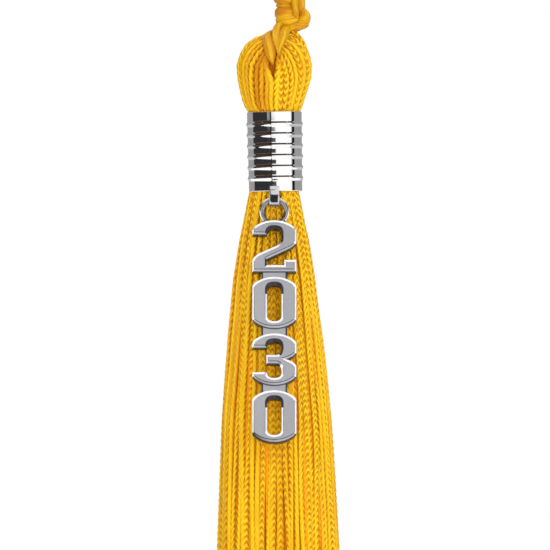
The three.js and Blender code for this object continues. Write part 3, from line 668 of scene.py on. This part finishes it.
# An outline is a list of steps: a corner (x, z), or a curve (handle x, handle z, end x, end z)
CAP = [(-HALF, 3.5, -3.4, 4.0), (-1.9, TOP, 0, TOP), (1.9, TOP, 3.4, 4.0), (HALF, 3.5, HALF, SHOULDER)]
FOOT = [(-x1, -z1, -x2, -z2) for x1, z1, x2, z2 in CAP]
DOME = [(COUNTER, COUNTER_TOP, 0, COUNTER_TOP), (-COUNTER, COUNTER_TOP, -COUNTER, COUNTER_SHOULDER)]
BOWL = [(-COUNTER, -COUNTER_SHOULDER), (-COUNTER, -COUNTER_FOOT, 0, -COUNTER_FOOT),
        (COUNTER, -COUNTER_FOOT, COUNTER, -COUNTER_SHOULDER)]
SERIF_AND_CAP = [(-HALF, SERIF), (-HALF, SHOULDER)] + CAP
DOME_AND_SERIF = DOME + [(-COUNTER, SERIF)]
ZERO = [[(-HALF, SHOULDER)] + CAP + [(HALF, -SHOULDER)] + FOOT,
        [(COUNTER, DARK_END), (COUNTER, COUNTER_SHOULDER)] + DOME + [(-COUNTER, DARK_END)] + BOWL]
TWO = [SERIF_AND_CAP
       + [(HALF, 1.0), (HALF, 0.1, 2.9, -0.6), (-1.4, -2.6), (-1.4, -3.6), (1.9, -3.6), (1.9, -2.6),
          (HALF, -2.6), (HALF, -TOP), (-HALF, -TOP), (-HALF, -2.9), (-4.0, -2.0, -2.9, -1.4), (0.6, 0.2),
          (COUNTER, 0.8, COUNTER, 1.6), (COUNTER, COUNTER_SHOULDER)] + DOME_AND_SERIF]
THREE = [SERIF_AND_CAP
         + [(HALF, 1.3), (3.9, 0.5, 2.45, 0), (3.9, -0.5, HALF, -1.3), (HALF, -SHOULDER)] + FOOT
         + [(-HALF, -2.4), (-COUNTER, -2.4)] + BOWL
         + [(COUNTER, -1.0, 0.5, -0.9), (-1.5, -0.9), (-1.5, 0.9), (0.5, 0.9),
            (COUNTER, 1.0, COUNTER, COUNTER_SHOULDER)] + DOME_AND_SERIF]
print("numerals drawn:", len(TWO[0]), "steps in the 2,", len(THREE[0]), "in the 3")

# %% [markdown]
# A blunt die leaves a chamfer round every numeral, so the curves get a straight bevel, pressed flatter than
# it is wide. The eye is spun from its own section, and small rounded blocks make the links. All of it
# stands upright here, with the eye's top at the origin, and leans out over the flare of the yarn only when
# it is done.
# %% Casting the charm
CURVE_STEPS, EYE_STEPS = 12, 96
# The eye's section, as (from its middle outward, towards the front): wall, chamfer, face, chamfer, wall
EYE_SECTION = [(EYE_WIRE, 0.2), (0.19, EYE_FACE), (-0.06, EYE_FACE), (-EYE_WIRE, 0.12)]
LINK_SIZE, LINK_BEVEL = (4.85, 1.7, 2.2), 0.32


def trace(steps):
    """Corners and sampled curves of one outline."""
    points = [steps[0]]
    for step in steps[1:]:
        if len(step) == 2:
            points.append(step)
            continue
        start, handle, end = np.array(points[-1]), np.array(step[:2]), np.array(step[2:])
        for t in np.linspace(0, 1, CURVE_STEPS + 1)[1:]:
            points.append(tuple((1 - t) ** 2 * start + 2 * t * (1 - t) * handle + t ** 2 * end))
    if np.hypot(*np.subtract(points[0], points[-1])) < 1e-6:
        points.pop()
    return points


def cast_numeral(outlines, order):
    """A flat curve, filled, extruded and bevelled, and turned into a mesh in the charm's own plane."""
    straight = (CHARM_DEPTH / 2 - CHARM_BEVEL * CHAMFER_DROP) * MM
    curve = bpy.data.curves.new("numeral", "CURVE")
    curve.dimensions = "2D"
    curve.fill_mode = "BOTH"
    curve.extrude = straight
    curve.bevel_depth = CHARM_BEVEL * MM
    curve.bevel_resolution = 0
    curve.offset = -CHARM_BEVEL * MM
    for outline in outlines:
        points = trace(outline)
        spline = curve.splines.new("POLY")
        spline.points.add(len(points) - 1)
        for point, (x, z) in zip(spline.points, points):
            point.co = (x * MM, z * MM, 0, 1)
        spline.use_cyclic_u = True
    holder = bpy.data.objects.new("numeral", curve)
    mesh = bpy.data.meshes.new_from_object(holder)
    bpy.data.objects.remove(holder)
    for vert in mesh.vertices:
        beyond = abs(vert.co.z) - straight
        if beyond > 0:
            vert.co.z = math.copysign(straight + beyond * CHAMFER_DROP, vert.co.z)
    drop = -(FIRST_NUMERAL + order * NUMERAL_PITCH + NUMERAL_HEIGHT / 2) * MM
    mesh.transform(Matrix.Translation((0, 0, drop)) @ Matrix.Rotation(math.radians(90), 4, "X"))
    return mesh


def cast_eye(bm):
    """A flat-faced ring, spun in the charm's plane."""
    section = EYE_SECTION + [(x, -y) for x, y in reversed(EYE_SECTION)]
    verts = [bm.verts.new(((EYE_RADIUS + x) * MM, -y * MM, 0)) for x, y in section]
    edges = [bm.edges.new((verts[i - 1], verts[i])) for i in range(len(verts))]
    bmesh.ops.spin(bm, geom=verts + edges, cent=(0, 0, 0), axis=(0, 1, 0), angle=2 * math.pi,
                   steps=EYE_STEPS, use_merge=True)
    bmesh.ops.translate(bm, verts=bm.verts[:], vec=(0, 0, -EYE_RADIUS * MM))


charm_bm = bmesh.new()
cast_eye(charm_bm)
for order, outlines in enumerate((TWO, ZERO, THREE, ZERO)):
    numeral = cast_numeral(outlines, order)
    charm_bm.from_mesh(numeral)
    bpy.data.meshes.remove(numeral)
link_size = Matrix.Diagonal([*(size * MM for size in LINK_SIZE), 1])
for above in (1, 2, 3):
    middle_z = -(FIRST_NUMERAL + above * NUMERAL_PITCH - (NUMERAL_PITCH - NUMERAL_HEIGHT) / 2)
    link_place = Matrix.Translation((0, 0, middle_z * MM)) @ link_size
    made = bmesh.ops.create_cube(charm_bm, size=1, matrix=link_place)
    round_edges(charm_bm, list({edge for vert in made["verts"] for edge in vert.link_edges}), LINK_BEVEL, 2)
close_up(charm_bm)
print("charm cast:", len(charm_bm.faces), "faces")

# %% [markdown]
# Each face gets one of five materials by the way it points: satin in front, a painted highlight on the
# chamfers that look up, a little less painted light on those that look sideways, painted shade on those
# that look down, and dark painted shade on the walls and the upper part of the counters. The chamfers that
# face down are wider, because the die was worn there, so the rims above them are raised. How far a point
# is from its face is kept as a value, for the painted dark lines along the rims.
# %% Finishing the charm
SATIN, EDGE, WALL, UNDER, SIDE = range(5)
FLAT, STEEP = 0.97, 0.08  # how much a flat face points forward at least, and a wall at most
WALL_LEVEL = 0.88  # mm from the middle plane, where the chamfers begin
SIDEWAYS = 0.12  # a chamfer that points up or down less than this looks sideways
DOWNWARD = 0.22  # one that points down more than this is an underside
UNDER_DROP = 0.3  # mm by which chamfers that face down are wider than the others
EYE_FALL = 0.33  # mm from the eye's face to the foot of its chamfers
RIM_SHARP = math.radians(12)
half_depth = CHARM_DEPTH / 2


def finish_and_painted_light_of(face):
    """Which of the five materials a face has. A counter's upper part gets the walls' painted shade."""
    middle, normal = face.calc_center_median() / MM, face.normal
    if abs(normal.y) > FLAT:
        return SATIN
    if middle.z > -FIRST_NUMERAL:
        inward = (middle - Vector((0, 0, -EYE_RADIUS))).dot(normal) < 0
        return UNDER if inward else SIDE
    if abs(normal.y) < STEEP or abs(middle.y) < WALL_LEVEL:
        return WALL
    local = -(-middle.z - FIRST_NUMERAL) % NUMERAL_PITCH - (NUMERAL_PITCH - NUMERAL_HEIGHT / 2)
    in_counter = abs(middle.x) < COUNTER + 0.5 and 0.9 < local < COUNTER_TOP + 0.75
    in_first = -middle.z < FIRST_NUMERAL + NUMERAL_HEIGHT
    under_stroke = in_first and normal.x > 0.3 and -3.4 < local < -1.5 and middle.x < 0
    if in_counter or under_stroke:
        return WALL
    if abs(normal.z) < SIDEWAYS:
        return SIDE
    return UNDER if normal.z < -DOWNWARD else EDGE


def steepest_fall(vert):
    """How straight down the chamfers at this corner face: 0 not at all, 1 straight down."""
    return max([0.0] + [-face.normal.z / math.hypot(face.normal.x, face.normal.z)
                        for face in vert.link_faces if STEEP < abs(face.normal.y) < FLAT])


charm_bm.normal_update()
on_face = [vert for vert in charm_bm.verts if abs(abs(vert.co.y) / MM - half_depth) < 0.01]
for vert, rise in [(vert, UNDER_DROP * steepest_fall(vert)) for vert in on_face]:
    vert.co.z += rise * MM
# The numerals' flat faces are filled anew between their moved rims
for front in (-1, 1):
    flat = {face for face in charm_bm.faces if front * face.calc_center_median().y / MM > half_depth - 0.01}
    rims = {edge for face in flat for edge in face.edges if not flat.issuperset(edge.link_faces)}
    bmesh.ops.delete(charm_bm, geom=list(flat), context="FACES_KEEP_BOUNDARY")
    bmesh.ops.triangle_fill(charm_bm, use_beauty=True, edges=list(rims), normal=(0, front, 0))
close_up(charm_bm)
charm_bm.normal_update()
rim = charm_bm.verts.layers.float.new("rim")
for vert in charm_bm.verts:
    in_eye = vert.co.z / MM > -FIRST_NUMERAL
    level, fall = (EYE_FACE, EYE_FALL) if in_eye else (half_depth, CHARM_BEVEL * CHAMFER_DROP)
    vert[rim] = min(max((level - abs(vert.co.y) / MM) / fall, 0.0), 1.0)
for face in charm_bm.faces:
    face.material_index = finish_and_painted_light_of(face)
print("faces of each finish:", [sum(f.material_index == i for f in charm_bm.faces) for i in range(5)])
charm_place = Matrix.Translation(PIVOT * MM) @ Matrix.Rotation(-CHARM_LEAN, 4, "X")
bmesh.ops.transform(charm_bm, verts=charm_bm.verts[:], matrix=charm_place)
cast_charm = finished("cast_charm", charm_bm)
cast_charm.data.set_sharp_from_angle(angle=RIM_SHARP)

# %% [markdown]
# Materials are built from shared node groups. A group answers one question about the surface, such as where
# a point lies in its stitch, and each material mixes its own colours and bumps from the answers.
# %% Node helpers
def feed(tree, socket, value):
    """Links a socket, or sets it. Three numbers for a colour make it opaque."""
    if isinstance(value, bpy.types.NodeSocket):
        tree.links.new(value, socket)
    else:
        socket.default_value = (*value, 1) if socket.type == "RGBA" else value


def fill(tree, node, **values):
    """Feeds a node's sockets by name. Spaces in a socket's name are written as underscores."""
    for name, value in values.items():
        feed(tree, node.inputs[name.replace("_", " ")], value)
    return node


def place(tree, kind, **values):
    return fill(tree, tree.nodes.new(kind), **values)


def calc(tree, operation, *values):
    node = tree.nodes.new("ShaderNodeMath")
    node.operation = operation
    for socket, value in zip(node.inputs, values):
        feed(tree, socket, value)
    return node.outputs[0]


def weighed(tree, share, first, second):
    """A mixture of two values, with the first one's share given."""
    return calc(tree, "ADD", calc(tree, "MULTIPLY", first, share), calc(tree, "MULTIPLY", second, 1 - share))


def blend_colours(tree, share, first, second):
    node = tree.nodes.new("ShaderNodeMix")
    node.data_type = "RGBA"
    feed(tree, node.inputs["Factor"], share)
    feed(tree, node.inputs[6], first)
    feed(tree, node.inputs[7], second)
    return node.outputs[2]


def smooth_step(tree, value, low, high):
    node = place(tree, "ShaderNodeMapRange", Value=value, From_Min=low, From_Max=high)
    node.interpolation_type = "SMOOTHSTEP"
    return node.outputs["Result"]


def attribute(tree, name):
    node = tree.nodes.new("ShaderNodeAttribute")
    node.attribute_name = name
    return node.outputs["Fac"]


def stitch_uv(tree):
    node = tree.nodes.new("ShaderNodeUVMap")
    node.uv_map = "UVMap"
    return node.outputs[0]


def object_point(tree):
    return tree.nodes.new("ShaderNodeTexCoord").outputs["Object"]


def noise(tree, where, scale, detail):
    return place(tree, "ShaderNodeTexNoise", Vector=where, Scale=scale, Detail=detail).outputs["Fac"]


def bump(tree, height, strength, distance):
    return place(tree, "ShaderNodeBump", Height=height, Strength=strength, Distance=distance).outputs[0]


def coat(material, *pieces):
    for piece in pieces:
        piece.data.materials.append(material)


def new_group(name, inputs, outputs):
    tree = bpy.data.node_groups.new(name, "ShaderNodeTree")
    for label, kind in inputs:
        tree.interface.new_socket(label, in_out="INPUT", socket_type=kind)
    for label, kind in outputs:
        tree.interface.new_socket(label, in_out="OUTPUT", socket_type=kind)
    return tree, tree.nodes.new("NodeGroupInput").outputs, tree.nodes.new("NodeGroupOutput")


def use_group(tree, group, **values):
    node = tree.nodes.new("ShaderNodeGroup")
    node.node_tree = group
    return fill(tree, node, **values).outputs


def new_material(name):
    material = bpy.data.materials.new(name)
    material.use_nodes = True
    tree = material.node_tree
    tree.nodes.clear()
    shader = tree.nodes.new("ShaderNodeBsdfPrincipled")
    output = tree.nodes.new("ShaderNodeOutputMaterial")
    tree.links.new(shader.outputs[0], output.inputs[0])
    return material, tree, shader


print("node helpers ready")

# %% [markdown]
# Chainette is a tiny knitted chain. Its front has two columns of slanted stitches that meet in a V, with a
# small hole where two stitches part. The group reads the UV map: U says how far a point is from the chain's
# middle line, V counts stitches. Both together give the slant, the filaments within a stitch, and the
# holes.
# %% Stitch pattern
FILAMENTS = 31.4  # radians of fine waves in one stitch
stitch, given, result = new_group(
    "chain_stitch", [("UV", "NodeSocketVector"), ("Position", "NodeSocketVector")],
    [("Height", "NodeSocketFloat"), ("Thread", "NodeSocketFloat"), ("Hole", "NodeSocketFloat")])


def from_half(value):
    """How far a share is from one half: 0 there, and 1 at either end."""
    return calc(stitch, "MULTIPLY", calc(stitch, "ABSOLUTE", calc(stitch, "SUBTRACT", value, 0.5)), 2.0)


def rest_of(value):
    return calc(stitch, "SUBTRACT", 1.0, value)


apart = place(stitch, "ShaderNodeSeparateXYZ", Vector=given["UV"])
aside = from_half(apart.outputs[0])
loose = calc(stitch, "MULTIPLY_ADD", noise(stitch, given["Position"], 450.0, 3.0), 0.9, apart.outputs[1])
phase = calc(stitch, "SUBTRACT", loose, calc(stitch, "MULTIPLY", aside, FINE_SLANT))
from_middle = from_half(calc(stitch, "FRACT", phase))
plain_side = calc(stitch, "MULTIPLY", smooth_step(stitch, aside, 0.15, 0.5), 0.45)
between_stitches = smooth_step(stitch, from_middle, 0.05, 1.0)
thread = rest_of(calc(stitch, "MULTIPLY", between_stitches, rest_of(plain_side)))
in_groove = rest_of(smooth_step(stitch, aside, 0.05, 0.34))
hole = calc(stitch, "MULTIPLY", in_groove, smooth_step(stitch, from_middle, 0.35, 0.95))
filaments = calc(stitch, "SINE", calc(stitch, "MULTIPLY", phase, FILAMENTS))
raised = calc(stitch, "MULTIPLY_ADD", filaments, 0.08, thread)
height = calc(stitch, "SUBTRACT", raised, calc(stitch, "MULTIPLY", hole, 0.7))
fill(stitch, result, Height=height, Thread=thread, Hole=hole)
print("stitch group:", len(stitch.nodes), "nodes")

# %% [markdown]
# Rayon yarn is lustrous and deeply dyed. Light that has gone from strand to strand comes out more orange.
# The renderer does most of that by itself, so the base colour stays a clear golden yellow, and only the
# strands inside the skirt get it painted: a faint orange glow, which is painted light, and a deeper orange,
# which is painted shade. The core is painted shade too, a dark red orange. The stitches add painted shade in
# their gaps and holes, and the tubes' shade value adds more where a point turns away from the open, where a
# strand is sunk, on the head's left side and where it goes under the cord. Each strand has its own tone,
# which also leans to amber on the left and to yellow on the right as painted shade and light, and slow
# noise gives the uneven dye along a strand.
# %% Yarn
# The first two colours are the dye's gold and amber. The other three are painted shade: between the stitches,
# in the stitch holes, and where the tubes' shade value is high.
GOLD, AMBER, STITCH_GAP_SHADE = (0.98, 0.64, 0.010), (0.78, 0.38, 0.003), (0.64, 0.27, 0.003)
DEEP_SHADE, SHADE = (0.52, 0.15, 0.002), (0.50, 0.13, 0.001)
# Painted shade: the strands behind have a deeper orange copy of the gold and amber.
INNER_SHADED_GOLD, INNER_SHADED_AMBER = (0.95, 0.44, 0.003), (0.88, 0.36, 0.002)
# Painted shade: the core is coloured a dark red orange instead of gold.
CORE_SHADE_RED, CORE_SHADE_ORANGE = (0.30, 0.055, 0.001), (0.46, 0.12, 0.001)


def yarn_material(name, bright, middling, gap_shade_colour, bump_strength):
    material, tree, shader = new_material(name)
    position = object_point(tree)
    pattern = use_group(tree, stitch, UV=stitch_uv(tree), Position=position)
    # The strand's tone: its dye, and painted light and shade by the side it hangs on.
    dye_and_side_shade = weighed(tree, 0.45, attribute(tree, "tone"), noise(tree, position, 220.0, 3.0))
    dyed_and_side_shaded = blend_colours(tree, smooth_step(tree, dye_and_side_shade, 0.2, 0.95), bright, middling)
    shown_thread = calc(tree, "MULTIPLY_ADD", pattern["Thread"], 0.55, 0.45)
    # Painted shade: a darker colour between the stitches.
    stitched = blend_colours(tree, shown_thread, gap_shade_colour, dyed_and_side_shaded)
    # Painted shade in the stitch holes.
    holed = blend_colours(tree, calc(tree, "MULTIPLY", pattern["Hole"], 0.75), stitched, DEEP_SHADE)
    # Painted shade where the tubes' shade value is high.
    painted_shade = calc(tree, "MULTIPLY", smooth_step(tree, attribute(tree, "shade"), 0.25, 1.3), 0.7)
    fibre = calc(tree, "MULTIPLY", noise(tree, position, 9000.0, 2.0), 0.2)
    relief = calc(tree, "ADD", pattern["Height"], fibre)
    fill(tree, shader, Base_Color=blend_colours(tree, painted_shade, holed, SHADE), Roughness=0.45,
         Specular_IOR_Level=0.14, Normal=bump(tree, relief, bump_strength, 0.00013))
    return material, shader


yarn = yarn_material("golden_yarn", GOLD, AMBER, STITCH_GAP_SHADE, 1.0)[0]
inner_yarn, inner_shader = yarn_material("inner_yarn", INNER_SHADED_GOLD, INNER_SHADED_AMBER, DEEP_SHADE, 0.8)
# Painted light: the strands behind glow faintly orange, for light passed from strand to strand.
inner_shader.inputs["Emission Color"].default_value = (1.0, 0.25, 0.005, 1)
inner_shader.inputs["Emission Strength"].default_value = 0.08
# The core's painted shade, spotted with noise.
core_shade_yarn, tree, shader = new_material("shaded_yarn")
spot = noise(tree, object_point(tree), 900.0, 3.0)
fill(tree, shader, Base_Color=blend_colours(tree, spot, CORE_SHADE_RED, CORE_SHADE_ORANGE), Roughness=0.7,
     Specular_IOR_Level=0.1, Normal=bump(tree, spot, 0.6, 0.0004))
coat(yarn, head_yarn, *skirt_pieces[:-1])
coat(inner_yarn, skirt_pieces[-1])
coat(core_shade_yarn, yarn_core)
print("yarn on", len(skirt_pieces) + 1, "pieces")

# %% [markdown]
# Floss is the same fibre before it is knitted, so it has no stitches and more shine. Noise stretched along
# V draws the filaments, finer ones on coarser ones, and the same noise tints them. The tubes' shade value
# mixes in painted shade.
# %% Floss
FLOSS_BRIGHT, FLOSS_DARK = (0.80, 0.48, 0.005), (0.63, 0.27, 0.002)
floss, tree, shader = new_material("golden_floss")


def filaments_of(across, along):
    stretched = place(tree, "ShaderNodeMapping", Vector=stitch_uv(tree), Scale=(across, along, 1.0))
    return noise(tree, stretched.outputs[0], 1.0, 2.0)


streak = weighed(tree, 0.6, filaments_of(16.0, 0.12), filaments_of(60.0, 0.3))
streaked = blend_colours(tree, smooth_step(tree, streak, 0.38, 0.62), FLOSS_BRIGHT, FLOSS_DARK)
# Painted shade where the tubes' shade value is high.
painted_shade = calc(tree, "MULTIPLY", smooth_step(tree, attribute(tree, "shade"), 0.15, 1.1), 0.75)
fill(tree, shader, Base_Color=blend_colours(tree, painted_shade, streaked, SHADE), Roughness=0.34,
     Specular_IOR_Level=0.25, Normal=bump(tree, streak, 1.0, 0.0004))
coat(floss, hanging_cord, floss_knot)
print("floss on the loop and the knot")

# %% [markdown]
# The band is polished plating, nearly a mirror, and the hook's plating is a little duller. Their thin sheet
# isn't perfectly even, so slow noise bends the reflections a little. The charm has satin faces with a fine
# grain, and four materials of painted light and shade: a painted highlight on the edges that look up, painted
# light on the side edges with a painted dark line near the face, painted shade on the undersides between two
# painted dark lines, and near-black painted shade on the walls. The lines follow the value that the rims
# carry.
# %% Metal
# Columns: name, colour, darker colour, roughness, scale and depth of the waves
METALS = [
    ("polished_chrome", (0.88, 0.88, 0.87), (0.84, 0.84, 0.85), 0.05, 220.0, 0.000004),
    ("hook_plating", (0.62, 0.62, 0.63), (0.55, 0.55, 0.57), 0.12, 400.0, 0.000012),
    ("satin_face", (0.46, 0.46, 0.485), (0.42, 0.42, 0.45), 0.40, 5000.0, 0.000006),
    # The next four rows are painted light and shade: edges that look up, walls, edges that look down, and
    # side edges.
    ("painted_highlight_edge", (0.96, 0.96, 0.97), (0.92, 0.92, 0.94), 0.28, 900.0, 0.000002),
    ("painted_shade_wall", (0.06, 0.06, 0.07), (0.035, 0.035, 0.045), 0.40, 1500.0, 0.00001),
    ("painted_shade_underside", (0.46, 0.46, 0.49), (0.40, 0.40, 0.43), 0.35, 1500.0, 0.000004),
    ("painted_light_side_edge", (0.84, 0.84, 0.86), (0.70, 0.70, 0.73), 0.28, 900.0, 0.000002),
]
PAINTED_RIM_SHADE = (0.07, 0.07, 0.085)
# For a finish with painted dark lines: how far from its face it is brightest, and where the lines begin and
# are full
RIM_LINES = {"painted_shade_underside": (0.45, 0.16, 0.34), "painted_light_side_edge": (0.62, 0.30, 0.52)}
wavy, given, result = new_group(
    "hammered_wave", [("Scale", "NodeSocketFloat"), ("Depth", "NodeSocketFloat")],
    [("Normal", "NodeSocketVector"), ("Spots", "NodeSocketFloat")])
spots = noise(wavy, object_point(wavy), given["Scale"], 2.0)
fill(wavy, result, Normal=bump(wavy, spots, 1.0, given["Depth"]), Spots=spots)


def metal_material(name, colour, darker, roughness, wave_scale, wave_depth):
    material, tree, shader = new_material(name)
    surface = use_group(tree, wavy, Scale=wave_scale, Depth=wave_depth)
    shade = blend_colours(tree, smooth_step(tree, surface["Spots"], 0.3, 0.75), colour, darker)
    # Painted shade: dark lines along the rims, by how far a point is from its face.
    if name in RIM_LINES:
        bright_middle, low, high = RIM_LINES[name]
        from_bright = calc(tree, "ABSOLUTE", calc(tree, "SUBTRACT", attribute(tree, "rim"), bright_middle))
        shade = blend_colours(tree, smooth_step(tree, from_bright, low, high), shade, PAINTED_RIM_SHADE)
    uneven = calc(tree, "MULTIPLY_ADD", surface["Spots"], roughness * 0.5, roughness * 0.75)
    fill(tree, shader, Base_Color=shade, Normal=surface["Normal"], Roughness=uneven, Metallic=1.0)
    return material


metals = [metal_material(*row) for row in METALS]
for material, piece in zip(metals, [polished_band, polished_hook] + [cast_charm] * 5):
    coat(material, piece)
print("metal on the band, the hook and the charm")

# %% [markdown]
# Polished metal is only as good as what it mirrors, so the studio has cards of light and dark flags, as a
# product photographer adds them. They are seen by reflections only, and none of them is part of the object.
# A card is a flat plane that faces a point, a shape given by directions from the band, or a band of light
# bent to an arch.
# %% Cards and lights
BLACK = (0.008, 0.008, 0.01)
GOLD_CARD, BROWN, WHITE = (0.42, 0.20, 0.04), (0.05, 0.03, 0.02), (0.86, 0.86, 0.86)
ARCH_STEPS = 24
aim = (0, 0, view_z)  # lights and most cards face the middle of the view


def stage_card(name, corners, faces, strength, colour=BLACK, only_gloss=True):
    """A black card gives off white light, and a coloured one its own colour."""
    material, tree, shader = new_material(name)
    fill(tree, shader, Base_Color=colour, Roughness=0.9, Specular_IOR_Level=0.0, Emission_Strength=strength,
         Emission_Color=(1, 1, 1) if colour == BLACK else colour)
    mesh = bpy.data.meshes.new(name)
    mesh.from_pydata(corners, [], faces)
    card = shown(name, mesh)
    coat(material, card)
    if only_gloss:
        card.visible_camera = card.visible_diffuse = card.visible_shadow = False
        card.visible_transmission = card.visible_volume_scatter = False
    return card


def facing(location, direction):
    return Matrix.Translation(location) @ direction.to_track_quat("Z", "Y").to_matrix().to_4x4()


def stage_plane(name, size, location, look_at, strength, colour=BLACK, only_gloss=True):
    turned = facing(location, Vector(look_at) - Vector(location))
    corners = [turned @ Vector((x * size[0], y * size[1], 0)) for y in (-0.5, 0.5) for x in (-0.5, 0.5)]
    return stage_card(name, corners, [(0, 1, 3, 2)], strength, colour, only_gloss)


def flag_at(name, distance, directions, strength):
    """A card given by directions from the band: degrees to the right of the camera, and degrees upward."""
    corners = [(distance * math.sin(side) * math.cos(up), -distance * math.cos(side) * math.cos(up),
                BAND_TOP * MM + distance * math.sin(up)) for side, up in np.radians(directions)]
    stage_card(name, corners, [tuple(range(len(corners)))], strength)


def arch(name, radius, first, last, front, back, strength):
    """A band of light bent over the tassel, in a plane across the view. Angles in degrees from the right."""
    corners = [(radius * math.cos(a), y, view_z + radius * math.sin(a))
               for y in (front, back) for a in np.radians(np.linspace(first, last, ARCH_STEPS + 1))]
    beyond = ARCH_STEPS + 1
    stage_card(name, corners, [(i, i + 1, i + beyond + 1, i + beyond) for i in range(ARCH_STEPS)], strength)


def soft_light(name, size, location, watts):
    """A rectangle of light that faces the tassel and isn't seen in its reflections."""
    data = bpy.data.lights.new(name, "AREA")
    data.shape = "RECTANGLE"
    data.size, data.size_y = size
    data.energy = watts
    light = bpy.data.objects.new(name, data)
    light.matrix_world = facing(location, Vector(location) - Vector(aim))
    bpy.context.collection.objects.link(light)
    light.visible_camera = light.visible_glossy = False


print("cards and lights ready")

# %% [markdown]
# The tassel hangs, so the floor lies below its ends, out of the picture, and the background is plain white.
# A large soft light stands at the front right. The band mirrors its card, a dark flag at the left with a
# ragged edge, a bright bar in that flag, a strip of gold, flags above and at the right, and cards below for
# a bright table. The charm mirrors an arch of light overhead and a near card at each side, and the hook and
# its lip have a tiny flag each.
# %% Studio
FLOOR_Z = -0.36
FLOOR_GLOW = 0.5  # for the camera, so that the floor melts into the background
RAGGED_EDGE = [(-16, -0.06), (2, -0.10), (7, -0.2), (4, -0.26), (2, -0.36), (6.5, -0.54), (3.5, -0.62),
               (1.5, -0.75), (7.5, -0.92), (3, -0.98), (2, -1.1), (7, -1.28), (4, -1.36), (2, -1.45),
               (7, -1.65), (3, -1.75), (2, -1.9), (7, -2.08), (4, -2.2), (6, -2.3), (1, -2.5),
               (-12, -2.8), (-14, -20), (-16, -20)]
floor = stage_plane("floor", (7, 7), (0, 0, FLOOR_Z), (0, 0, 1), 0.0, WHITE, False)
floor_tree = floor.data.materials[0].node_tree
seen_by_camera = floor_tree.nodes.new("ShaderNodeLightPath").outputs["Is Camera Ray"]
feed(floor_tree, floor_tree.nodes["Principled BSDF"].inputs["Emission Strength"],
     calc(floor_tree, "MULTIPLY", seen_by_camera, FLOOR_GLOW))
# What the band mirrors
stage_plane("left_flag", (1.0, 0.85), (-0.429, -0.258, view_z + 0.20), (0, 0, view_z + 0.20), 0.024)
flag_at("ragged_flag", 0.45, RAGGED_EDGE, 0.024)
flag_at("window_bar", 0.44, [(-31, -0.38), (-20, -0.34), (-20, 0.7), (-31, 0.7)], 0.38)
for name, sides, top, foot, strength in (("left_floor_flag", (-104, -74, -44, -14), -24, -44, 0.024),
                                         ("left_floor_card", (-104, -130, -165), -6, -60, 0.6),
                                         ("right_floor_card", (76, 110, 165), -6, -60, 0.6)):
    rims = [(side, top) for side in sides] + [(side, foot) for side in reversed(sides)]
    flag_at(name, 0.30, rims, strength)
stage_plane("gold_card", (0.7, 0.05), (-0.40, -0.25, view_z + 0.15), aim, 0.25, GOLD_CARD)
stage_plane("key_card", (1.2, 0.62), (0.31, -0.52, view_z + 0.13), aim, 1.15)
stage_plane("upper_flag", (1.1, 0.40), (0.14, -0.40, view_z + 0.62), aim, 0.0, BROWN)
stage_plane("right_flag", (0.12, 0.6), (0.49, -0.04, view_z + 0.15), aim, 0.0)
# What the charm, the hook and the lip mirror
arch("light_arch", 0.55, 50, 130, -0.17, 0.32, 1.3)
for name, x in (("left_card", -0.0135), ("right_card", 0.0135)):
    stage_plane(name, (0.05, 0.0430), (x, -0.018, -0.139), (0, -0.018, -0.139), 1.2)
stage_plane("hook_flag", (0.0026, 0.0041), (0, -0.00875, -0.11995), (0, 0, -0.11995), 0.03)
stage_plane("lip_flag", (0.0022, 0.0030), (0, -0.0052, -0.1212), (0, -0.0052, 0), 0.2)
soft_light("key_light", (1.2, 0.72), (0.31, -0.52, view_z + 0.18), 3.7)
soft_light("front_light", (0.3, 0.3), (0.05, -1.0, view_z + 0.05), 2.3)
soft_light("left_light", (0.5, 0.6), (-0.55, -0.3, view_z + 0.1), 1.2)
soft_light("top_light", (0.7, 0.5), (0.0, 0.12, view_z + 0.65), 3.0)
soft_light("back_light", (0.8, 0.5), (0.2, 0.7, view_z + 0.3), 2.2)

world = bpy.data.worlds.new("studio")
bpy.context.scene.world = world
world.use_nodes = True
room = world.node_tree
room.nodes.clear()
seen = place(room, "ShaderNodeBackground", Color=(1, 1, 1), Strength=1.0)
lit = place(room, "ShaderNodeBackground", Color=(1, 1, 1), Strength=0.36)
choose = room.nodes.new("ShaderNodeMixShader")
camera_ray = room.nodes.new("ShaderNodeLightPath").outputs["Is Camera Ray"]
for socket, source in zip(choose.inputs, (camera_ray, lit.outputs[0], seen.outputs[0])):
    room.links.new(source, socket)
room.links.new(choose.outputs[0], room.nodes.new("ShaderNodeOutputWorld").inputs[0])
bpy.context.scene.view_settings.view_transform = "Standard"
bpy.context.scene.view_settings.look = "None"

# %% [markdown]
# Last, every piece is attached to what it moves with, and the solid that it stands for is hidden. Only the
# charm swings.
# %% Places in the frame
for piece in [head_yarn, yarn_core] + skirt_pieces:
    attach(piece, "tassel")
    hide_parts("yarn_skein")
for piece, node, slot in ((floss_knot, "cord_knot", "cord"), (hanging_cord, "hanging_loop", "cord"),
                          (polished_band, "ribbed_band", "band_metal"),
                          (polished_hook, "charm_hook", "band_metal")):
    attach(piece, "tassel")
    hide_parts(node)
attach(cast_charm, "charm")
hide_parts("year_charm")
made = [head_yarn, yarn_core, floss_knot, hanging_cord, polished_band, polished_hook, cast_charm]
made += skirt_pieces
triangles = {piece.name: sum(len(face.vertices) - 2 for face in piece.data.polygons) for piece in made}
print("triangles:", triangles, "in all", sum(triangles.values()))
